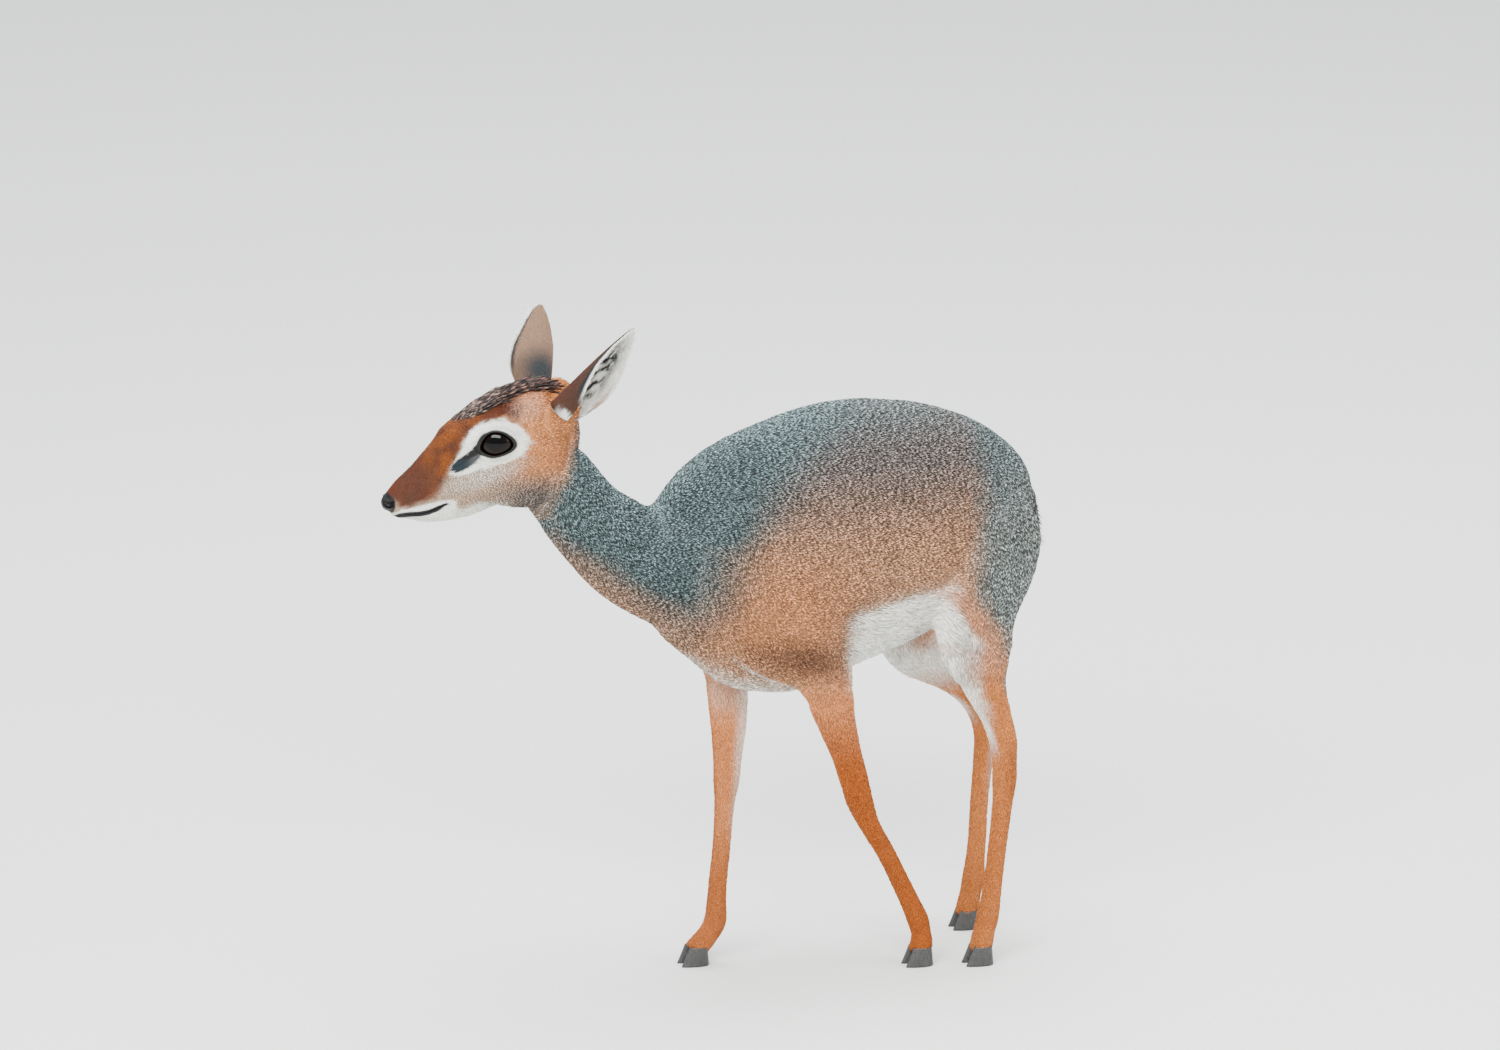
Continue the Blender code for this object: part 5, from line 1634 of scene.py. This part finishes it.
class DIKDIK_OT_hooves(bpy.types.Operator):
    """Builds the two claws of every foot"""

    bl_idname = "dikdik.hooves"
    bl_label = "Hooves"

    def execute(self, context):
        horn = horn_material()
        for name, foot in FEET.items():
            shape = bmesh.new()
            for side in (-1, 1):
                claw(shape, foot, side)
            item = finished(f"{name}_claws", shape)
            coated(item, horn)
            place_piece(item, "hoof_horn", f"{name}_hoof_left", f"{name}_hoof_right")
        return {"FINISHED"}


# The picture's size, where the sections' origin lies in it, and its scale in pixels a metre
PHOTO_SIZE = (1500, 1050)
PHOTO_FOOT = (857, 954)
PHOTO_SCALE = 1400.0
# Studio lights: place, width and height, power in watts, colour
LIGHTS = (
    ("key", (-1.5, -2.5, 2.6), (3.5, 1.1), 350, (0.98, 1.0, 0.99)),
    ("top", (0.3, 0.4, 3.2), (2.4, 2.4), 225, (0.95, 0.98, 1.0)),
    ("fill", (2.4, -1.6, 1.2), (1.8, 1.8), 54, (1.0, 0.98, 0.96)),
)
# What the lights point at, the world's strength and colour, and half the floor's width
LIT_MIDDLE = Vector((0, 0, 0.25))
WORLD_LIGHT = 1.1
WORLD_TINT = (0.8, 0.84, 0.86, 1)
FLOOR_REACH = 30


def aimed(name, data, place, way):
    """An object at a place that looks along a way."""
    item = new_object(name, data)
    item.location = place
    item.rotation_mode = "QUATERNION"
    item.rotation_quaternion = way.to_track_quat("-Z", "Y")
    return item


class DIKDIK_OT_stage(bpy.types.Operator):
    """Builds the pale floor, the soft lights and the camera"""

    bl_idname = "dikdik.stage"
    bl_label = "Stage"

    def execute(self, context):
        settings = context.scene.dikdik_stage
        shift = model_shift()
        shape = bmesh.new()
        bmesh.ops.create_grid(shape, x_segments=1, y_segments=1, size=FLOOR_REACH)
        floor = finished("floor", shape)
        floor.data.materials.append(paper_material())
        azimuth, elevation = settings.azimuth, settings.elevation
        flat = Vector((math.sin(azimuth), -math.cos(azimuth), 0))
        back = flat * math.cos(elevation) + Vector((0, 0, math.sin(elevation)))
        right = Vector((math.cos(azimuth), math.sin(azimuth), 0))
        up = back.cross(right)
        across, rise = (PHOTO_SIZE[0] / 2 - PHOTO_FOOT[0]), (PHOTO_FOOT[1] - PHOTO_SIZE[1] / 2)
        target = (right * across + up * rise) / PHOTO_SCALE + shift
        camera = bpy.data.cameras.new("camera")
        camera.lens = camera.sensor_width * PHOTO_SCALE / PHOTO_SIZE[0] * settings.distance
        camera.clip_end = 100
        context.scene.camera = aimed("camera", camera, target + back * settings.distance, -back)
        for name, place, size, power, tint in LIGHTS:
            light = bpy.data.lights.new(name, "AREA")
            light.shape = "RECTANGLE"
            light.size, light.size_y = size
            light.energy = power * settings.daylight
            light.color = tint
            aimed(name, light, place, LIT_MIDDLE - Vector(place))
        world = bpy.data.worlds.new("studio")
        world.use_nodes = True
        sky = world.node_tree.nodes["Background"]
        node(world.node_tree, sky, {"Color": WORLD_TINT, "Strength": WORLD_LIGHT})
        context.scene.world = world
        return {"FINISHED"}


class DIKDIK_PT_panel(bpy.types.Panel):
    """Lists the model's sizes, colours and pieces"""

    bl_label = "Dik-dik"
    bl_idname = "DIKDIK_PT_panel"
    bl_space_type = "VIEW_3D"
    bl_region_type = "UI"
    bl_category = "Dik-dik"

    def draw(self, context):
        layout = self.layout
        for held in GROUPS:
            group = getattr(context.scene, held)
            box = layout.box()
            for name in type(group).__annotations__:
                box.prop(group, name)
        layout.operator("dikdik.skin")
        for name in COAT_PIECES:
            layout.operator("dikdik.coat", text=name.replace("_", " ").capitalize()).part = name
        for name in ("crest", "eyes", "hooves", "stage"):
            layout.operator(f"dikdik.{name}")


GROUPS = {"dikdik_sizes": CoatSizes, "dikdik_colours": CoatColours, "dikdik_stage": StageSizes}
CLASSES = (
    *GROUPS.values(), DIKDIK_OT_skin, DIKDIK_OT_coat, DIKDIK_OT_crest, DIKDIK_OT_eyes, DIKDIK_OT_hooves,
    DIKDIK_OT_stage, DIKDIK_PT_panel,
)


def register():
    for made in CLASSES:
        bpy.utils.register_class(made)
    for name, group in GROUPS.items():
        setattr(bpy.types.Scene, name, PointerProperty(type=group))


def unregister():
    for name in GROUPS:
        delattr(bpy.types.Scene, name)
    for made in reversed(CLASSES):
        bpy.utils.unregister_class(made)


def main():
    register()
    bpy.ops.dikdik.skin()
    for name in COAT_PIECES:
        bpy.ops.dikdik.coat(part=name)
    bpy.ops.dikdik.crest()
    bpy.ops.dikdik.eyes()
    bpy.ops.dikdik.hooves()
    bpy.ops.dikdik.stage()


if __name__ == "__main__":
    main()
